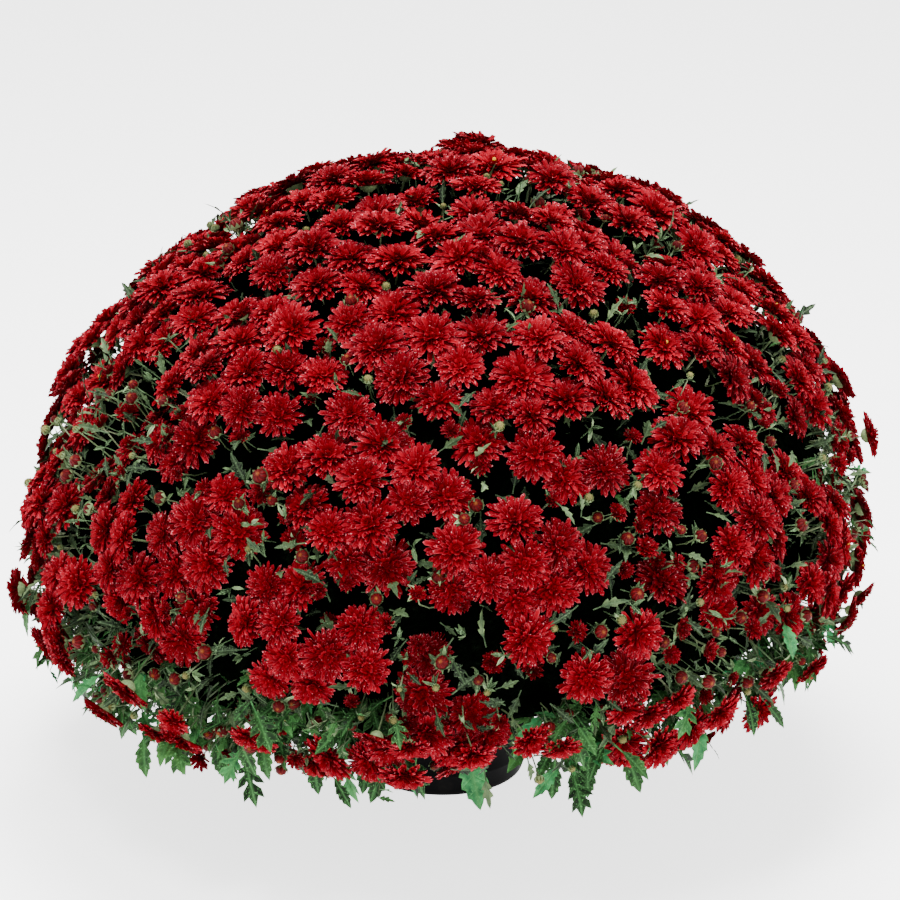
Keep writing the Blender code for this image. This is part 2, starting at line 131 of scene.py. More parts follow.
SKIRT_SHOOTS = Shoots(26, (90, 111), (-0.028, 0.004), (0.024, 0.040), 0.24, 1.10)
FRINGE_SHOOTS = Shoots(13, (107, 117), (-0.016, 0.003), (0.028, 0.044), 0.06, 1.00)
UPPER_SHOOTS = Shoots(4, (55, 95), (-0.022, 0.000), (0.009, 0.014), 0.80, 1.25)
RIGHT_SHOOTS = Shoots(14, (68, 98), (-0.006, 0.006), (0.016, 0.028), 0.50, 1.05)
RIGHT_SPAN = (-0.85, 0.45)

# Leaves that hang in front of the pot: root, length and shade
HANGING_LEAVES = (
    (0.019, -0.252, 0.142, 0.056, 0.93), (-0.022, -0.262, 0.128, 0.030, 0.97),
    (-0.046, -0.262, 0.132, 0.040, 0.30), (-0.062, -0.255, 0.134, 0.036, 0.45),
    (0.108, -0.250, 0.128, 0.044, 0.15), (0.122, -0.245, 0.130, 0.040, 0.50),
    (0.094, -0.255, 0.130, 0.036, 0.35), (0.150, -0.235, 0.130, 0.042, 0.55),
    (-0.110, -0.250, 0.130, 0.036, 0.40),
)
# Flowers on longer stalks: degrees from the top and round, how far out, radius, and how far they face up
STRAY_FLOWERS = (
    (94, 191, 0.008, 0.0205, 0.1), (98, 211, 0.006, 0.0190, -0.1), (96, 227, 0.010, 0.0230, -0.5),
    (107, 234, 0.008, 0.0200, -0.9), (101, 245, 0.006, 0.0150, -0.4), (75, 354, 0.014, 0.0205, 0.3),
    (116, 322, 0.004, 0.0205, 0.3), (104, 196, 0.004, 0.0130, -0.2), (100, 340, 0.006, 0.0140, 0.0),
    (101, 266, 0.004, 0.0180, -0.1), (104, 274, 0.005, 0.0190, 0.0), (101, 281, 0.004, 0.0180, -0.2),
)
LOW_FLOWERS, LOW_TRIES = 28, 12
LOW_BAND, LOW_PROUD, LOW_RADII, LOW_RISE = (97, 110), (0.002, 0.010), (0.0150, 0.0200), (-0.5, 0.2)


def unit(vectors):
    return vectors / np.linalg.norm(vectors, axis=-1, keepdims=True)


def canopy_point(polar, azimuth):
    """Points on the dome, from angles from its top and round it."""
    height = np.where(np.cos(polar) > 0, CANOPY_RISE, CANOPY_DROP) * np.cos(polar)
    reach = CANOPY_RADIUS * np.sin(polar)
    x = reach * np.cos(azimuth)
    y = reach * np.sin(azimuth)
    return np.stack([x, y, EQUATOR_Z + height + CANOPY_LEAN * x], axis=-1)


def canopy_angles(points):
    height = points[:, 2] - CANOPY_LEAN * points[:, 0] - EQUATOR_Z
    height = height / np.where(height > 0, CANOPY_RISE, CANOPY_DROP)
    reach = np.hypot(points[:, 0], points[:, 1]) / CANOPY_RADIUS
    polar = np.clip(np.arctan2(reach, height), 0, SKIRT_ANGLE)
    return polar, np.arctan2(points[:, 1], points[:, 0])


def canopy_normal(polar, azimuth):
    rise = np.where(np.cos(polar) > 0, CANOPY_RISE, CANOPY_DROP)
    flat = np.sin(polar) / CANOPY_RADIUS
    out = [flat * np.cos(azimuth), flat * np.sin(azimuth), np.cos(polar) / rise]
    return unit(np.stack(out, axis=-1))


def even_points(count, turn=0.0, last=SKIRT_ANGLE):
    """Points spread evenly over the dome, on a spiral from its top."""
    polar = np.linspace(0, last, 2000)
    line = canopy_point(polar, np.zeros_like(polar))
    step = np.linalg.norm(np.diff(line, axis=0), axis=1)
    ring_size = CANOPY_RADIUS * np.sin(polar)
    area = np.concatenate([[0], np.cumsum(step * (ring_size[1:] + ring_size[:-1]) / 2)])
    share = (np.arange(count) + 0.5) / count
    azimuth = np.arange(count) * math.pi * (3 - math.sqrt(5)) + turn
    return canopy_point(np.interp(share * area[-1], area, polar), azimuth)


def relaxed(points, radii):
    """The points pushed apart on the dome, until they hardly overlap."""
    for _ in range(RELAX_STEPS):
        apart = points[:, None] - points[None]
        distance = np.linalg.norm(apart, axis=-1) + np.eye(len(points))
        short = np.clip((radii[:, None] + radii[None]) * PACKING - distance, 0, None)
        np.fill_diagonal(short, 0)
        points = points + RELAX_PUSH * (apart * (short / distance)[..., None]).sum(axis=1)
        points = canopy_point(*canopy_angles(points))
    return points


def lay_out_flowers():
    """The centres, faces and radii of the open flowers."""
    draw = np.random.default_rng(LAYOUT_SEED)
    count = FLOWER_COUNT + GAP_COUNT
    points = even_points(count)
    radii = draw.uniform(*FLOWER_RADII, count)
    from_top = np.arange(count) / count
    is_gap = np.zeros(count, bool)
    is_gap[np.argsort(draw.random(count) / (TOP_GAP_SHARE + from_top))[:GAP_COUNT]] = True
    radii[is_gap] = draw.uniform(*GAP_RADII, GAP_COUNT) * (0.45 + from_top[is_gap])
    points = relaxed(points + draw.normal(0, PLACE_SPREAD, (count, 3)), radii)
    polar, azimuth = canopy_angles(points)
    is_gap |= (polar > SKIRT_START) & (draw.random(count) < SKIRT_GAP_SHARE)
    normals = canopy_normal(polar, azimuth)
    depth = draw.normal(0, DEPTH_SPREAD, (count, 1)).clip(-DEPTH_LIMIT, DEPTH_LIMIT)
    tilt = draw.normal(0, TILT_SPREAD, (count, 3)).clip(-TILT_LIMIT, TILT_LIMIT)
    centres = points + normals * depth
    faces = unit(normals + FACE_UP * UP + tilt)
    return centres[~is_gap], faces[~is_gap], radii[~is_gap]


def group_sprays(centres, radii):
    """Each flower's spray, by the closest chain of neighbours."""
    hearts = even_points(SPRAY_COUNT, turn=0.5)
    gaps = np.linalg.norm(centres[:, None] - centres[None], axis=-1)
    gaps = gaps / (radii[:, None] + radii[None]) + 99 * np.eye(len(centres))
    first = np.unique(np.linalg.norm(centres[:, None] - hearts[None], axis=-1).argmin(axis=0))
    path = np.full(len(centres), np.inf)
    path[first] = 0
    spray = np.full(len(centres), -1)
    spray[first] = np.arange(len(first))
    waiting = set(range(len(centres)))
    while waiting:
        here = min(waiting, key=lambda flower: path[flower])
        waiting.remove(here)
        longer = path[here] + gaps[here] ** 4
        nearer = longer < path
        path[nearer] = longer[nearer]
        spray[nearer] = spray[here]
    for number in range(len(first)):
        members = np.flatnonzero(spray == number)
        if len(members) < SMALLEST_SPRAY:
            others = np.flatnonzero(spray != number)
            spray[members] = spray[others[gaps[np.ix_(members, others)].min(axis=0).argmin()]]
    return spray


def gathered(centres, faces, spray):
    """The flowers drawn together in their sprays, which are a little domed."""
    polar, azimuth = canopy_angles(centres)
    normals = canopy_normal(polar, azimuth)
    pull = GATHER * np.clip(polar / (math.pi / 2), 0, 1)[:, None]
    drawn, turned_out = centres.copy(), faces.copy()
    for number in set(spray):
        own = spray == number
        away = centres[own] - centres[own].mean(axis=0)
        far = np.linalg.norm(away, axis=1, keepdims=True) / SPRAY_REACH
        drawn[own] -= away * pull[own] + normals[own] * SPRAY_DOME * far**2
        turned_out[own] = unit(faces[own] + away / SPRAY_REACH * SPRAY_TILT)
    return drawn, turned_out


def plant_of(points):
    """Which plant each point belongs to, by its direction from the pot's axis."""
    turn = np.arctan2(points[:, 1], points[:, 0])
    return np.floor((turn / FULL_TURN * PLANT_COUNT - 0.25) % PLANT_COUNT).astype(int)


class Flowers:
    """The open flowers, as the CAD model places them."""

    def __init__(self):
        centres, faces, self.radii = lay_out_flowers()
        self.spray = group_sprays(centres, self.radii)
        self.centres, self.faces = gathered(centres, faces, self.spray)
        self.polar, azimuth = canopy_angles(self.centres)
        self.normals = canopy_normal(self.polar, azimuth)
        self.sizes = self.radii * np.interp(self.polar, BLOOM_SIZE_ANGLES, BLOOM_SIZES)
        self.plant = plant_of(self.centres)
        self.hubs = self.find_hubs()

    def find_hubs(self):
        """For each flower, the point where the stalks of its spray meet."""
        hubs = np.zeros_like(self.centres)
        for number in set(self.spray):
            own = self.spray == number
            out = unit(self.normals[own].sum(axis=0))
            hubs[own] = self.centres[own].mean(axis=0) - out * HUB_DEPTH - [0, 0, 0.012]
        return hubs

    def head(self, i):
        """A flower's centre, face and size."""
        return self.centres[i], self.faces[i], self.sizes[i]

    def distances(self, points):
        """How far each point is from each flower's centre."""
        return np.linalg.norm(points[:, None] - self.centres, axis=-1)

    def room(self, points):
        """How far each point is from the nearest flower, in that flower's radii."""
        return (self.distances(points) / self.radii).min(axis=1)


def in_pot_window(turn):
    return np.abs((turn - POT_WINDOW + math.pi) % FULL_TURN - math.pi) < POT_WINDOW_HALF


class Shape:
    """Points and triangles gathered for one piece, with two vectors of shading facts at each point."""

    def __init__(self):
        self.parts, self.count = [], 0

    def add(self, points, faces, facts=(0.5, 0, 0.5), more=(0, 0, 0), slot=0):
        """Adds points, and triangles that count from the first of them."""
        facts, more = (np.broadcast_to(values, points.shape) for values in (facts, more))
        self.parts.append((points, faces + self.count, facts, more, np.full(len(faces), slot)))
        self.count += len(points)

    def piece(self, name, materials, *nodes, slot):
        """Makes the piece, which stands for the named nodes."""
        points, faces, facts, more, slots = map(np.concatenate, zip(*self.parts))
        mesh = bpy.data.meshes.new(name)
        mesh.vertices.add(len(points))
        mesh.vertices.foreach_set("co", points.astype(np.float32).ravel())
        mesh.loops.add(faces.size)
        mesh.loops.foreach_set("vertex_index", faces.astype(np.int32).ravel())
        mesh.polygons.add(len(faces))
        mesh.polygons.foreach_set("loop_start", np.arange(0, faces.size, 3, dtype=np.int32))
        mesh.polygons.foreach_set("material_index", slots.astype(np.int32))
        for word, values in (("facts", facts), ("more", more)):
            data = mesh.attributes.new(word, "FLOAT_VECTOR", "POINT").data
            data.foreach_set("vector", values.astype(np.float32).ravel())
        mesh.update(calc_edges=True)
        mesh.shade_smooth()
        for material in materials:
            mesh.materials.append(material)
        made = new_object(name, mesh)
        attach(made, "root")
        if nodes:
            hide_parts(*nodes)


def new_object(name, data):
    made = bpy.data.objects.new(name, data)
    bpy.context.scene.collection.objects.link(made)
    return made


def round_turn(sides):
    return np.arange(sides) * FULL_TURN / sides


def ring(turn, reach, height):
    return np.stack([np.cos(turn) * reach, np.sin(turn) * reach, turn * 0 + height], axis=-1)


def bands(rows, sides, downward=False, closed=True):
    """Triangles between rows of points, facing out where the rows go up, or down."""
    side = np.arange(sides if closed else sides - 1)
    after = (side + 1) % sides
    square = np.stack([side, after, after + sides, side, after + sides, side + sides], axis=-1)
    faces = copies(square.reshape(-1, 3), rows - 1, sides)
    return faces[:, ::-1] if downward else faces


def cap(first, sides, tip):
    side = np.arange(sides)
    return np.stack([first + side, first + (side + 1) % sides, side * 0 + tip], axis=-1)


def turned_form(rows, sides, tip=None, downward=False):
    """Rings of a reach and a height round the Z axis, closed by a tip: points and triangles."""
    points = np.concatenate([ring(round_turn(sides), *row) for row in rows])
    faces = bands(len(rows), sides, downward)
    if tip is not None:
        faces = np.concatenate([faces, cap(len(points) - sides, sides, len(points))])
        points = np.concatenate([points, [[0, 0, tip]]])
    return points, faces


def copies(faces, count, points):
    """The triangles of a form repeated, with its number of points."""
    return (faces + (np.arange(count) * points)[:, None, None]).reshape(-1, 3)


def triples(first, second, third):
    return np.stack(np.broadcast_arrays(first, second, third), axis=-1).reshape(-1, 3)


def bend(start, control, end, t):
    """The points and slopes at the share t of curves that bend towards control points."""
    points = start * (1 - t) ** 2 + 2 * control * t * (1 - t) + end * t**2
    return points, 2 * (control - start) * (1 - t) + 2 * (end - control) * t


def along_curve(curve, t):
    points, slopes = bend(*curve, t)
    return points, unit(slopes)


# Directions that hardly any face or stalk has
SLANT = np.array([0.36, 0.48, 0.8])
STALK_SLANT = np.array([0.31, 0.52, 0.79])


def frame_of(face, spin):
    """A 3x3 matrix whose columns are two directions across and the face."""
    helper = SLANT if abs(face @ SLANT) < 0.9 else np.array([1.0, 0, 0])
    across = unit(np.cross(face, helper))
    other = np.cross(face, across)
    first = across * math.cos(spin) + other * math.sin(spin)
    return np.stack([first, np.cross(face, first), face], axis=1)


SIDES = {1: (0,), 2: (-1, 1), 3: (-1, 0, 1)}
PETAL_BANDS = {
    (2, 3): [(0, 1, 3), (0, 3, 2), (1, 4, 3)],
    (3, 3): [(0, 1, 4), (0, 4, 3), (1, 2, 5), (1, 5, 4)],
    (2, 2): [(0, 1, 3), (0, 3, 2)],
    (3, 1): [(0, 1, 3), (1, 2, 3)],
    (2, 1): [(0, 1, 2)],
}


def petal_form(rows):
    """The share along, the width share and the side of each point of a petal, and its triangles."""
    along, wide, side, faces = [], [], [], []
    for row, (t, w, count) in enumerate(rows):
        if row:
            before = rows[row - 1][2]
            first = len(along) - before
            faces += [[corner + first for corner in face] for face in PETAL_BANDS[before, count]]
        along += [t] * count
        wide += [w] * count
        side += SIDES[count]
    return np.array(along), np.array(wide), np.array(side), np.array(faces)


LONG_PETAL = petal_form([(0, 0.32, 2), (0.50, 0.95, 3), (0.92, 0.84, 3), (1.03, 0, 1)])
SHORT_PETAL = petal_form([(0, 0.45, 2), (0.82, 1.0, 3), (1.03, 0, 1)])
HEART_PETAL = petal_form([(0, 0.45, 2), (0.80, 1.0, 2), (1.03, 0, 1)])


def petals(form, turn, curve, width, cup, roll, chance):
    """Petals round the Z axis, each on a curve of reach and height."""
    along, wide, side, faces = form
    points, slope = bend(*(part[:, None, :] for part in curve), along[None, :, None])
    slope = slope / (np.linalg.norm(slope, axis=-1, keepdims=True) + 1e-9)
    across = side[None] * wide[None] * width[:, None] / 2
    raised = (side[None] ** 2 - 0.55) * wide[None] * width[:, None] * cup[:, None]
    raised = raised + across * np.sin(roll)[:, None]
    flat = across * np.cos(roll)[:, None]
    reach = points[..., 0] - slope[..., 1] * raised
    height = points[..., 1] + slope[..., 0] * raised
    cos, sin = np.cos(turn)[:, None], np.sin(turn)[:, None]
    points = np.stack([reach * cos - flat * sin, reach * sin + flat * cos, height], axis=-1)
    facts = triples(along[None], side[None], chance[:, None])
    return points.reshape(-1, 3), copies(faces, len(turn), len(along)), facts


def petal_layer(draw, layer, count, radius, openness):
    """The turns, curves, widths, cups, rolls and chances of the petals of one layer."""
    s = layer / (len(PETAL_COUNTS) - 1)
    turn = (np.arange(count) + 0.5 * (layer % 2) + draw.normal(0, 0.24, count)) * FULL_TURN / count
    reach = radius * (1 - 0.84 * s**1.12) * draw.normal(1, 0.065, count)
    height = radius * (-0.07 + 0.28 * (1 - (1 - s) ** 1.6) + draw.normal(0, 0.060, count))
    reach *= 0.55 + 0.45 * openness
    height += radius * (1 - openness) * (0.55 - 0.25 * s)
    near = np.stack([reach * 0 + radius * 0.10 * (1 - s), reach * 0 - radius * (0.20 - 0.14 * s)], axis=-1)
    bulge = radius * 0.11 + (1 - openness) * radius * 0.05
    middle = np.stack([reach * (0.62 + 0.55 * s**3), (height + near[:, 1]) / 2 + bulge], axis=-1)
    tip = np.stack([reach * (1 - 0.35 * s**4), height], axis=-1)
    width = radius * (0.185 - 0.045 * s) * draw.normal(1, 0.12, count)
    cup = 0.45 + draw.normal(0, 0.10, count)
    roll = draw.normal(0, 0.28, count)
    return turn, (near, middle, tip), width, cup, roll, draw.random(count)


def add_bloom(shape, draw, centre, face, radius, openness, tone):
    """One double flower. openness 1 is flat and wide open, 0.4 is a cup."""
    turned = frame_of(face, draw.uniform(0, 6.28))
    layers = len(PETAL_COUNTS)
    half_open = openness < HALF_OPEN
    for layer, count in enumerate(PETAL_COUNTS):
        count = round(count * HALF_OPEN_PETALS) if half_open else count
        form = SHORT_PETAL if half_open or layer >= FULL_LAYERS else LONG_PETAL
        form = HEART_PETAL if layer >= layers - HEART_LAYERS else form
        points, faces, facts = petals(form, *petal_layer(draw, layer, count, radius, openness))
        shape.add(points @ turned.T + centre, faces, facts, [layer / (layers - 1), tone, 0.0])
    add_knob(shape, centre, turned, radius * 0.17, radius * 0.15, [1.0, tone, 0.0])
    if tone > LARGEST_TONE:
        eye = centre + face * radius * 0.21
        add_knob(shape, eye, turned, radius * 0.07, radius * 0.04, [1.0, tone, 1.0])


def add_knob(shape, centre, turned, radius, height, more=(0, 0, 0), sides=6):
    points, faces = turned_form([(radius, -height), (radius * 0.7, height * 0.6)], sides, tip=height)
    shape.add(points @ turned.T + centre, faces, more=more)


def add_calyx(shape, draw, centre, face, radius):
    """The green cup of bracts under a flower, from its rim down to the stalk."""
    rows = ((0.34, -0.16), (0.29, -0.30), (0.13, -0.42))
    points, faces = turned_form(rows, CALYX_SIDES, downward=True)
    points = points * radius @ frame_of(face, 0).T + centre
    shape.add(points, faces, (0.3, 0, draw.random()), (0, draw.random(), 0))


def add_bud(shape, draw, centre, face, radius, red):
    """A closed bud: an upright oval of tight petals in a green cup, on the shape's first two slots."""
    turned = frame_of(face, draw.uniform(0, 6.28))
    turn = round_turn(BUD_SIDES)
    rows = ((0.30, -0.95), (0.86, -0.55), (1.0, -0.05), (0.80, 0.48), (0.40, 0.78))
    ripples = [(r * (1 + 0.05 * np.cos(turn * 3 + z * 4)), z) for r, z in rows]
    points, faces = turned_form(ripples, BUD_SIDES, tip=0.84)
    along = np.append(np.repeat([0.0, 0.25, 0.5, 0.75, 0.95], BUD_SIDES), 1.0)
    facts = triples(along, np.append(np.tile(turn, len(rows)), 0), draw.random())
    shape.add(points * radius @ turned.T + centre, faces, facts, (0, draw.random(), float(red)))
    add_bracts(shape, draw, centre, turned, radius, (1.20, 0.34) if red else (1.00, 0.55))


def add_bracts(shape, draw, centre, turned, radius, tip):
    """The cup of pointed green bracts round a bud, a little proud of it."""
    turn = (np.arange(BUD_SIDES) + 0.5) * FULL_TURN / BUD_SIDES
    left, right = (ring(turn + aside, 1.10, -0.30) for aside in (-0.36, 0.36))
    points = np.stack([ring(turn, 0.35, -0.98), left, right, ring(turn, *tip)], axis=1).reshape(-1, 3)
    faces = copies(np.array([(0, 2, 1), (1, 2, 3)]), BUD_SIDES, 4)
    shape.add(points * radius @ turned.T + centre, faces, (0.5, 0, draw.random()), slot=1)


def tubes(shape, draw, curves, radii, rings=6, sides=4, taper=0.8, slot=0):
    """Round stalks along curves of a start, a control point and an end, thinner at their ends."""
    t = np.linspace(0, 1, rings)[None, :, None]
    curve, slope = bend(*(part[:, None] for part in curves), t)
    slope = unit(slope + 1e-9)
    across = unit(np.cross(slope, STALK_SLANT))
    other = np.cross(slope, across)
    size = (radii[:, None, None] * (1 - (1 - taper) * t))[..., None]
    turn = round_turn(sides)[:, None]
    out = across[:, :, None] * np.cos(turn) + other[:, :, None] * np.sin(turn)
    points = curve[:, :, None] + size * out
    count = len(radii)
    shade = np.repeat(draw.random(count), rings * sides)
    along = np.tile(np.repeat(t.ravel(), sides), count)
    faces = copies(bands(rings, sides), count, rings * sides)
    shape.add(points.reshape(-1, 3), faces, triples(along, 0, shade), slot=slot)


def leaf_form(half, ribs):
    """A flat leaf, from its half outline and the places of its rib points."""
    points = [(x, 0.0) for x in ribs]
    faces = []
    tip = len(ribs) - 1
    for sign in (1, -1):
        rim = [*range(len(points), len(points) + len(half)), tip]
        points += [(x, sign * y) for x, y in half]
        a = b = 0
        while a < tip or rim[b] != tip:
            rim_ends = rim[b] == tip
            if rim_ends or (a < tip - 1 and ribs[a + 1] <= points[rim[b + 1]][0]):
                face = (a, a + 1, rim[b])
                a += 1
            else:
                face = (a, rim[b + 1], rim[b])
                b += 1
            if len(set(face)) == 3:
                faces.append(face[::sign])
    return np.array(points), np.array(faces), np.repeat([0.0, 1.0], [len(ribs), len(points) - len(ribs)])


def lobed_form(lobes):
    """A flat leaf of lobes, each from its place on the midrib, angle, length and half width."""
    finger = np.array([(0, 0), (0, 0.45), (0, -0.45), (0.58, 0), (0.58, 1), (0.58, -1), (1, 0)])
    triangles = np.array([(0, 3, 1), (1, 3, 4), (0, 2, 3), (2, 5, 3), (3, 6, 4), (3, 5, 6)])
    points = []
    for place, angle, length, half in lobes:
        along, aside = finger[:, 0] * length, finger[:, 1] * half
        for sign in (1, -1) if angle else (1,):
            cos, sin = math.cos(angle), math.sin(angle) * sign
            points.append(np.stack([place + along * cos - aside * sin, along * sin + aside * cos], axis=-1))
    faces = copies(triangles, len(points), len(finger))
    return np.concatenate(points), faces, np.tile([0.0, 1, 1, 0, 1, 1, 1], len(points))


LOBED_LEAF = lobed_form([
    (0.0, 0, 0.66, 0.10), (0.16, 1.10, 0.24, 0.060), (0.30, 0.85, 0.40, 0.080), (0.50, 0.58, 0.42, 0.085),
    (0.44, 0, 0.56, 0.115),
])
BIG_LEAF = leaf_form(
    [(0.02, 0.012), (0.08, 0.022), (0.15, 0.085), (0.24, 0.140), (0.27, 0.100), (0.36, 0.165), (0.45, 0.210),
     (0.48, 0.155), (0.56, 0.190), (0.64, 0.200), (0.67, 0.140), (0.73, 0.145), (0.79, 0.145), (0.82, 0.095),
     (0.90, 0.062)],
    [0.0, 0.18, 0.36, 0.54, 0.72, 0.87, 1.0],
)
SMALL_LEAF = leaf_form(
    [(0.05, 0.02), (0.22, 0.13), (0.34, 0.19), (0.37, 0.09), (0.52, 0.17), (0.61, 0.19), (0.64, 0.09),
     (0.84, 0.07)],
    [0.0, 0.33, 0.66, 1.0],
)
TUFT_LEAF = leaf_form([(0.25, 0.13), (0.60, 0.15), (0.80, 0.08)], [0.0, 0.5, 1.0])


def add_leaves(shape, draw, form, roots, directions, ups, lengths, arch=0.25, fold=0.30, stalk=0, slot=0,
               shade=None):
    """Leaves from their roots. directions point along the blades and ups out of their upper sides."""
    flat, faces, rim = form
    x, y = flat.T[:, None]
    count = len(roots)
    sag = arch + draw.normal(0, 0.10, (count, 1))
    folded = fold + draw.normal(0, 0.10, (count, 1))
    wave = draw.uniform(-0.05, 0.05, (count, 1))
    height = -sag * x**2 + folded * np.abs(y) - 0.9 * folded * y**2 + wave * np.sin(9 * x) * np.abs(y) * 3
    forward = unit(directions)
    side = unit(np.cross(ups, forward))
    up = np.cross(forward, side)
    blade = roots + forward * (lengths * stalk)[:, None]
    stretch = draw.uniform(0.85, 1.15, (count, 1))
    long = lengths[:, None]
    points = blade[:, None]
    for way, far in ((forward, x), (side, y * stretch), (up, height)):
        points = points + way[:, None] * (far * long)[..., None]
    facts = triples(x, y, draw.random((count, 1)) if shade is None else shade)
    more = triples(long, draw.random((count, 1)), rim[None])
    shape.add(points.reshape(-1, 3), copies(faces, count, len(flat)), facts, more, slot)
    if stalk:
        middle = (roots + blade) / 2 - up * (long * stalk * 0.12)
        curves = (roots, middle, blade + forward * (long * 0.06))
        tubes(shape, draw, curves, lengths * 0.018 + 0.0004, rings=2, sides=3, slot=slot)


def add_shoots(pieces, draw, flowers, kind, turn, polar):
    """Arching leafy side shoots that end near the canopy, with a bud or a small flower on some of them."""
    leaves, stalks, buds, blooms = pieces
    column = (len(turn), 1)
    out = canopy_normal(polar, turn)
    flat = ring(turn, 1, 0)
    ends = canopy_point(polar, turn) + out * draw.uniform(*kind.proud, column)
    starts = flat * draw.uniform(0.09, 0.17, column) + [0, 0, 0.19]
    middles = starts * 0.35 + ends * 0.65 + UP * draw.uniform(0.00, 0.05, column)
    curves = (starts, middles + draw.normal(0, 0.015, out.shape), ends)
    tubes(stalks, draw, curves, draw.uniform(0.0007, 0.0011, len(turn)), rings=8, sides=5, taper=0.6)
    for place in SHOOT_LEAVES:
        add_shoot_leaves(leaves, draw, flowers, kind, curves, flat, polar, place)
    for _ in range(TWIGS_PER_SHOOT):
        add_twigs((leaves, stalks, buds), draw, flowers, kind, curves, out)
    for end, ahead, aside in zip(*along_curve(curves, 1.0), flat):
        chance = draw.random() / kind.heads
        face = unit(ahead + aside * 0.4 + [0, 0, 0.4] + draw.normal(0, 0.2, 3))
        if chance < 0.4:
            add_bud(buds, draw, end, face, draw.uniform(0.0040, 0.0062), True)
        elif chance < 0.65:
            add_bud(buds, draw, end, face, draw.uniform(0.0030, 0.0045), False)
        elif chance < 1:
            add_bloom(blooms, draw, end, face, draw.uniform(0.010, 0.016), draw.uniform(0.5, 0.8), 0.4)


def add_shoot_leaves(leaves, draw, flowers, kind, curves, flat, polar, place):
    """A leaf at one place on each shoot, unless a flower is in its way. Lower ones hang more."""
    t, side = place
    spots, ahead = along_curve(curves, t)
    column = (len(spots), 1)
    beside = unit(np.cross(ahead, flat * 0.6 + [0, 0, 0.8])) * side
    aside = beside * draw.uniform(0.3, 1.0, column)
    astray = draw.normal(0, 0.28, spots.shape)
    droop = UP * draw.uniform(0.1, 1.1, column) * np.sin(polar)[:, None] ** 2
    forward = unit(ahead * 0.55 + aside + astray - droop)
    ups = unit(flat * 0.5 + [0, 0, 0.9] + draw.normal(0, 0.25, spots.shape))
    lengths = draw.uniform(*kind.leaves, len(spots)) * (1.12 - 0.45 * (t - 0.5))
    clear = flowers.room(spots + forward * lengths[:, None] * 0.8) > kind.room
    lobed = draw.random(len(spots)) < 0.45
    for form, own in ((LOBED_LEAF, clear & lobed), (BIG_LEAF, clear & ~lobed)):
        add_leaves(leaves, draw, form, spots[own], forward[own], ups[own], lengths[own], stalk=0.30,
                   arch=0.32, fold=0.34)


def add_twigs(pieces, draw, flowers, kind, curves, out):
    """A short twig on each shoot, with small leaves and sometimes a bud, unless a flower is in its way."""
    leaves, stalks, buds = pieces
    column = (len(out), 1)
    spots, ahead = along_curve(curves, draw.uniform(0.55, 0.9, column))
    away = unit(ahead + draw.normal(0, 0.6, out.shape) + out * 0.4)
    tips = spots + away * draw.uniform(0.018, 0.045, column)
    clear = flowers.room(tips) > kind.room
    spots, tips = spots[clear], tips[clear]
    twigs = (spots, (spots + tips) / 2 + draw.normal(0, 0.006, tips.shape), tips)
    tubes(stalks, draw, twigs, draw.uniform(0.0005, 0.0008, len(tips)), rings=5, sides=3, taper=0.7)
    for spot, tip in zip(spots, tips):
        chance = draw.random() / kind.heads
        if chance < 0.5:
            face = unit(tip - spot + [0, 0, 0.012])
            add_bud(buds, draw, tip, face, draw.uniform(0.0026, 0.0052), chance < 0.32)
    for t in TWIG_LEAVES:
        knots, ahead = along_curve(twigs, t)
        aside = unit(ahead + draw.normal(0, 0.9, knots.shape))
        ups = unit(draw.normal(0, 0.5, knots.shape) + UP)
        add_leaves(leaves, draw, SMALL_LEAF, knots, aside, ups, draw.uniform(0.008, 0.018, len(knots)))


